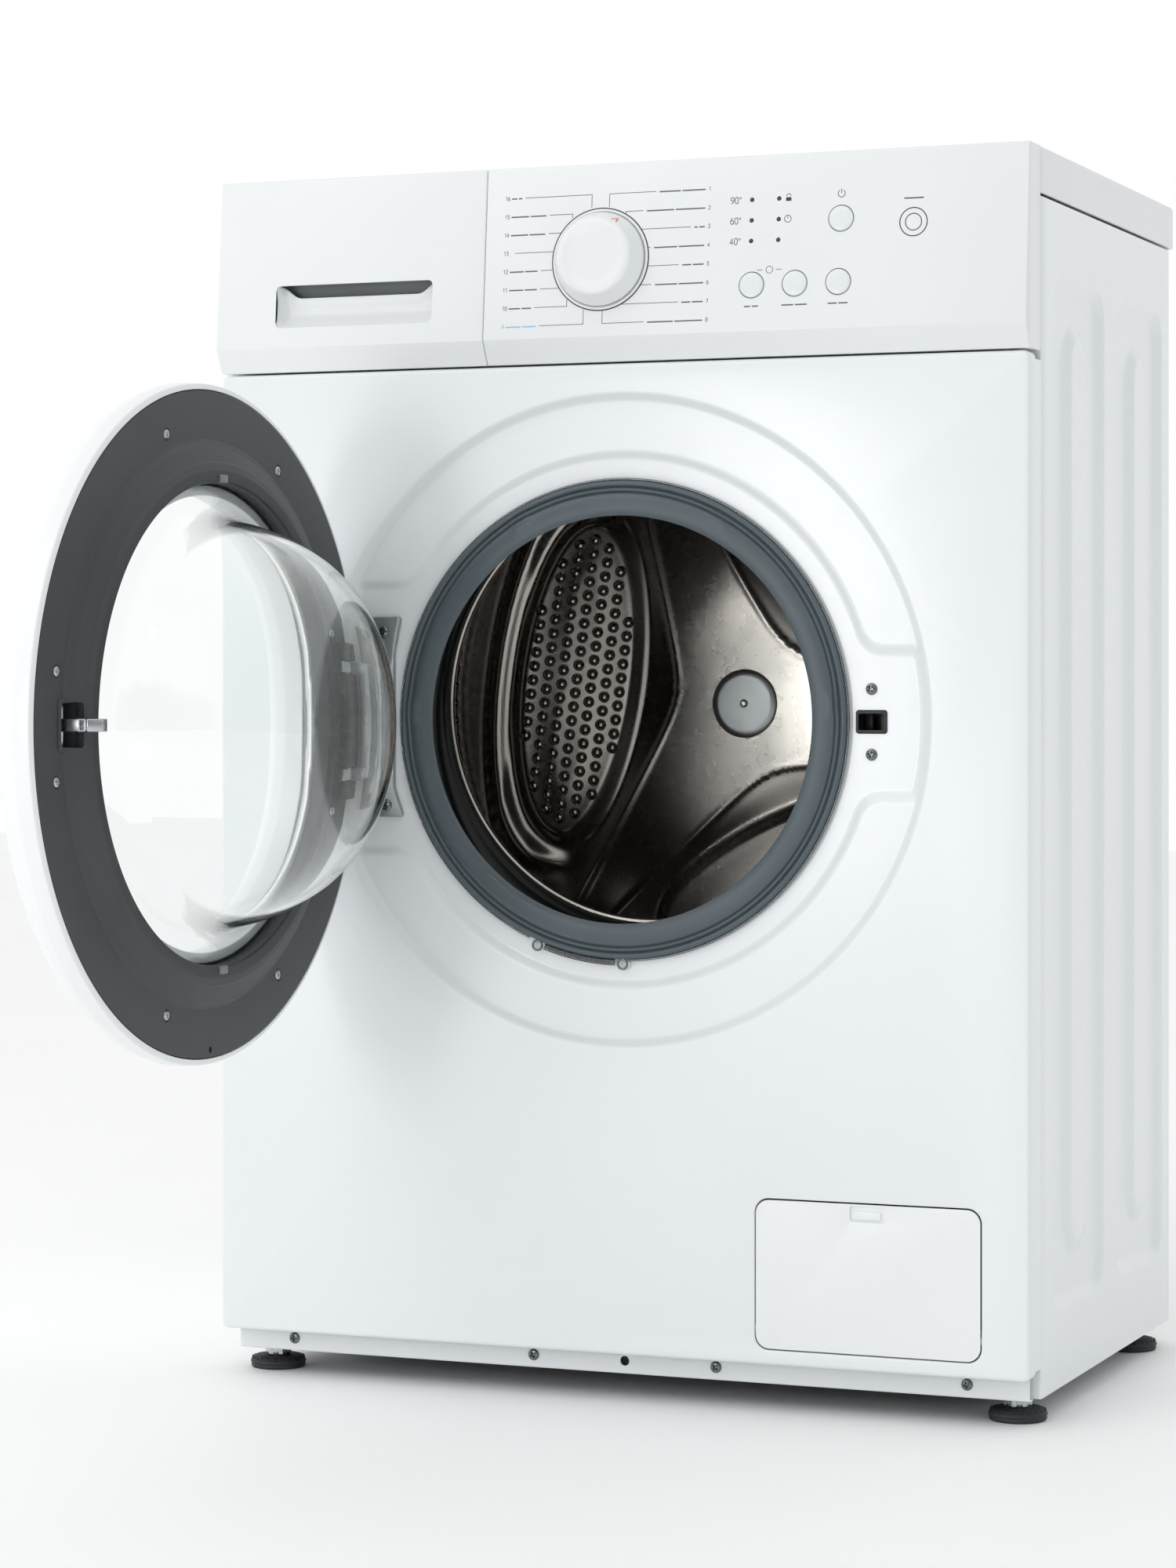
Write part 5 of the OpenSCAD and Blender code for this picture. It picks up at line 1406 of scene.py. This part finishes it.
def lifters():
    """Three paddles with rounded crests that fade into the wall at both ends."""
    shape = Shape()
    for k in range(3):
        a = math.radians(PAD_ANGLE + 60 + 120 * k)
        rows = []
        for j in range(33):
            y = 80 + 168 * j / 32
            f = max(0.02, math.sin(math.pi * min(1, max(0, j / 32))) ** 0.35)
            row = []
            for i in range(33):
                s = -1 + 2 * i / 32
                wide = 27 * (0.9 + 0.1 * f)
                t = s * wide
                crest = 41 * f * (math.cos(s * math.pi / 2) ** 0.75 if abs(s) < 1 else 0)
                r = math.sqrt(max(0, 230.6 ** 2 - t * t)) - crest
                x, _, z = ring_point(DRUM, r, a, y)
                row.append((x - t * math.sin(a), y, z + t * math.cos(a)))
            rows.append(row)
        shape.grid(rows)
    made = piece("lifter_paddles", shape, "drum", "stainless", "drum_lifters", angle=60)
    thicken(made, 0.7, 60)


gasket()
gasket_clamp()
drum_shell()
drum_back()
drum_hub()
lifters()


# ----------------------------------------------- flap, feet and small fittings

def service_flap():
    """Flap over the drain filter: pillowed edges, a latch notch with its tab, and hinge pins."""
    x0, z0, x1, z1 = FLAP
    notch = (173.4, 133.0, 197.6, 143.8)
    outline = round_rect(x0 + 0.2, z0 + 0.2, x1 - 0.2, z1 - 0.2, 9.3, 10)
    plate = piece("flap_plate", Shape().prism(outline, 0.05, 2.0), "flap", "white_plastic", "service_flap",
                  angle=40)
    cut(plate, Shape().prism(round_rect(*notch, 2.2, 8), -3, 5), angle=40)
    bevel(plate, 0.7, 4, 40, 40)
    back = Shape().prism(round_rect(notch[0] - 3, notch[1] - 3, notch[2] + 3, notch[3] + 0.4, 2), 1.7, 4)
    moulded(0.5, "flap_pocket", back, "flap", "white_plastic", "service_flap")
    tab = Shape().prism(round_rect(notch[0] + 2.6, notch[1] + 1.6, notch[2] - 2.6, notch[1] + 7.0, 1.2), 0.5,
                        2.2)
    moulded(0.45, "flap_tab", tab, "flap", "white_plastic", "service_flap")
    arms = Shape()
    for x in (x0 + 12, x1 - 20):
        arms.prism([(1.9, 55.6)] + arc(4.6, 58, 2.55, -90, 90, 12) + [(1.9, 61)], x, x + 8, "yz")
    for x in (x0 - 1.8, x1 - 19.8):
        arms.prism(arc(4.6, 58, 2.5, 0, 345, 23), x, x + 21.6, "yz")
    moulded(0.3, "flap_hinge_pins", arms, "flap", "white_plastic", "service_flap", segments=2)


def feet():
    """Rubber feet under threaded bolts with hex nuts and washers."""
    pads = Shape()
    sole = filleted([(0, 1.4), (6, 1.4), (7.5, 0.1), (18.6, 0.1), (19.6, 1.6), (19.2, 3.2), (20, 4),
                     (19.6, 5.6),
                     (17, 8.2), (12.5, 8.9), (0, 8.9)], [0, 0.8, 0.8, 0.8, 0.9, 0.5, 0.6, 1.2, 2, 1, 0], 5)
    for x, y in FEET:
        pads.spin(sole, (x, y, 0), steps=96)
        for i in range(24):
            a = math.radians(15 * i)
            spot = Matrix.Translation((x, y, 0)) @ Matrix.Rotation(a, 4, "Z")
            rib = Shape().prism(rect(16.8, -0.5, 19.0, 0.5), 5.0, 7.7, "xy").moved(spot)
            pads.add(rib.points, rib.faces)
    piece("foot_soles", pads, "cabinet", "black_rubber", "foot_pads", angle=40)
    nuts, studs = Shape(), Shape()
    stud = [(0, 8.9), (5.0, 8.9)]
    for i in range(21):
        z = 9.4 + 1.5 * i
        stud += [(4.9, z), (4.2, z + 0.75)]
    stud += [(4.9, 41.2), (4.2, 41.9), (0, 41.9)]
    for x, y in FEET:
        nuts.spin([(0, 15.6), (12.2, 15.6), (12.7, 15.9), (12.7, 16.7), (12.2, 16.95), (0, 16.95)], (x, y, 0),
                  steps=64)
        studs.spin(stud, (x, y, 0), steps=32)
    piece("foot_washers", nuts, "cabinet", "zinc_steel", "foot_bolts", angle=40)
    piece("foot_studs", studs, "cabinet", "zinc_steel", "foot_bolts", angle=60)
    hexes = Shape()
    for k, (x, y) in enumerate(FEET):
        turn = (14, 37, 22, 51)[k]
        rows = []
        for z, grow in ((9.1, 0.86), (9.7, 1.0), (14.9, 1.0), (15.5, 0.86)):
            row = []
            for i in range(72):
                t = 5 * i
                flat = 8.4 / math.cos(math.radians((t % 60) - 30))
                r = min(flat, 9.6 * grow)
                a = math.radians(t + turn)
                row.append((x + r * math.cos(a), y + r * math.sin(a), z))
            rows.append(row)
        rows.insert(0, [(x + 0.3 * (p[0] - x), y + 0.3 * (p[1] - y), 9.1) for p in rows[0]])
        rows.append([(x + 0.3 * (p[0] - x), y + 0.3 * (p[1] - y), 15.5) for p in rows[-1]])
        hexes.grid(rows, close_u=True)
    piece("foot_hex_nuts", hexes, "cabinet", "zinc_steel", "foot_bolts", angle=25)


def springs():
    """Suspension springs: close coils between wire eyes, from the tub up to the cabinet."""
    for name, s in (("left", -1), ("right", 1)):
        shape = Shape()
        path = []
        each, windings = 14, 52
        low, high = 640.0, 790.0
        for i in range(windings * each + 1):
            a = 2 * math.pi * i / each
            path.append((s * SPRING[0] + 5.4 * math.cos(a), SPRING[1] + 5.4 * math.sin(a),
                         low + (high - low) * i / (windings * each)))
        shape.tube(path, 1.05, 6)
        for z, turn in ((EYES[0] + 9.4, 1), (EYES[1] - 9.4, -1)):
            loop = [(s * SPRING[0], SPRING[1] + 9.2 * math.sin(a), z - turn * 9.2 * math.cos(a))
                    for a in turns(30)]
            shape.tube(loop, 1.1, 8, closed=True)
        made = piece("suspension_spring_" + name, shape, None, "spring_steel", "suspension_springs", angle=60)
        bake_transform(made)


def hose(name, x, y, z0, z1, r, pitch, swell):
    """A bellows hose between two heights, with plain cuffs at its ends."""
    profile = [(r, z0), (r + 2.2, z0), (r + 2.2, z0 + 4)]
    count = max(2, round((z1 - z0 - 12) / pitch))
    step = (z1 - z0 - 12) / count
    for i in range(count):
        z = z0 + 6 + i * step
        for f, d in ((0.1, 0.3), (0.3, 0.9), (0.5, 1.0), (0.7, 0.9), (0.9, 0.3)):
            profile.append((r + 1.7 + swell * d, z + f * step))
    profile += [(r + 2.2, z1 - 4), (r + 2.2, z1), (r, z1)]
    made = piece(name, Shape().spin(profile, (x, y, 0), steps=64), None, "grey_rubber", "inner_hoses",
                 angle=60)
    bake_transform(made)


def rear_ports():
    """Threaded inlet, ribbed drain stub and the cord's gland at the back."""
    x, z = VALVE
    body = [(0, 346), (10, 346), (10, 422.6), (10.8, 423.6), (11.6, 423.6)]
    for i in range(9):
        y = 422.2 - 2.3 * i
        body += [(12.0, y), (13.0, y - 1.15)]
    body += [(12.0, 401.5), (11.6, 400.5), (11.6, 390.2), (17.6, 390.0), (18, 389.4), (18, 384.4), (16, 384),
             (16, 341),
             (15, 340), (0, 340)]
    shape = Shape().spin([(r, y) for r, y in body], (x, 0, z), (0, 1, 0), 64)
    piece("inlet_thread", shape, "cabinet", "valve_plastic", "inlet_valve", angle=40)
    moulded(1.5, "inlet_coil", Shape().prism(round_rect(x - 16, z - 20, x + 16, z + 20, 4), 318, 348),
            "cabinet", "valve_plastic", "inlet_valve")
    fittings = Shape()
    x, z = DRAIN
    stub = [(9, 378), (12, 378), (12, 384), (17, 384.2), (17, 390), (12.1, 390), (12.1, 391.2), (17, 391.2),
            (17, 394.4), (16.4, 395), (11.4, 395)]
    for i in range(3):
        y = 397 + 4.6 * i
        stub += [(10.7, y), (10.9, y + 0.4), (12, y + 1.0), (11.0, y + 4.2)]
    stub += [(10.6, 409.6), (9.8, 410), (9, 409.6)]
    fittings.spin(stub, (x, 0, z), (0, 1, 0), 64)
    x, z = GLAND
    gland = [(4, 385.2), (9, 385.2), (9, 386.2), (12, 386.4), (12, 390), (9.1, 390), (9.1, 391.2),
             (12, 391.2),
             (12, 393.4), (11.4, 394), (8.8, 394), (8.4, 397.4), (7.6, 398), (4.6, 398), (4, 397.4)]
    fittings.spin(gland, (x, 0, z), (0, 1, 0), 64)
    piece("rear_stubs", fittings, "cabinet", "black_plastic", "rear_fittings", angle=40)


service_flap()
feet()
springs()
hose("filling_hose", -150, 195, 685, 716, 10.1, 4.5, 1.5)
hose("sump_hose", 165, 110, 150, 268, 15.1, 9, 1.5)
rear_ports()
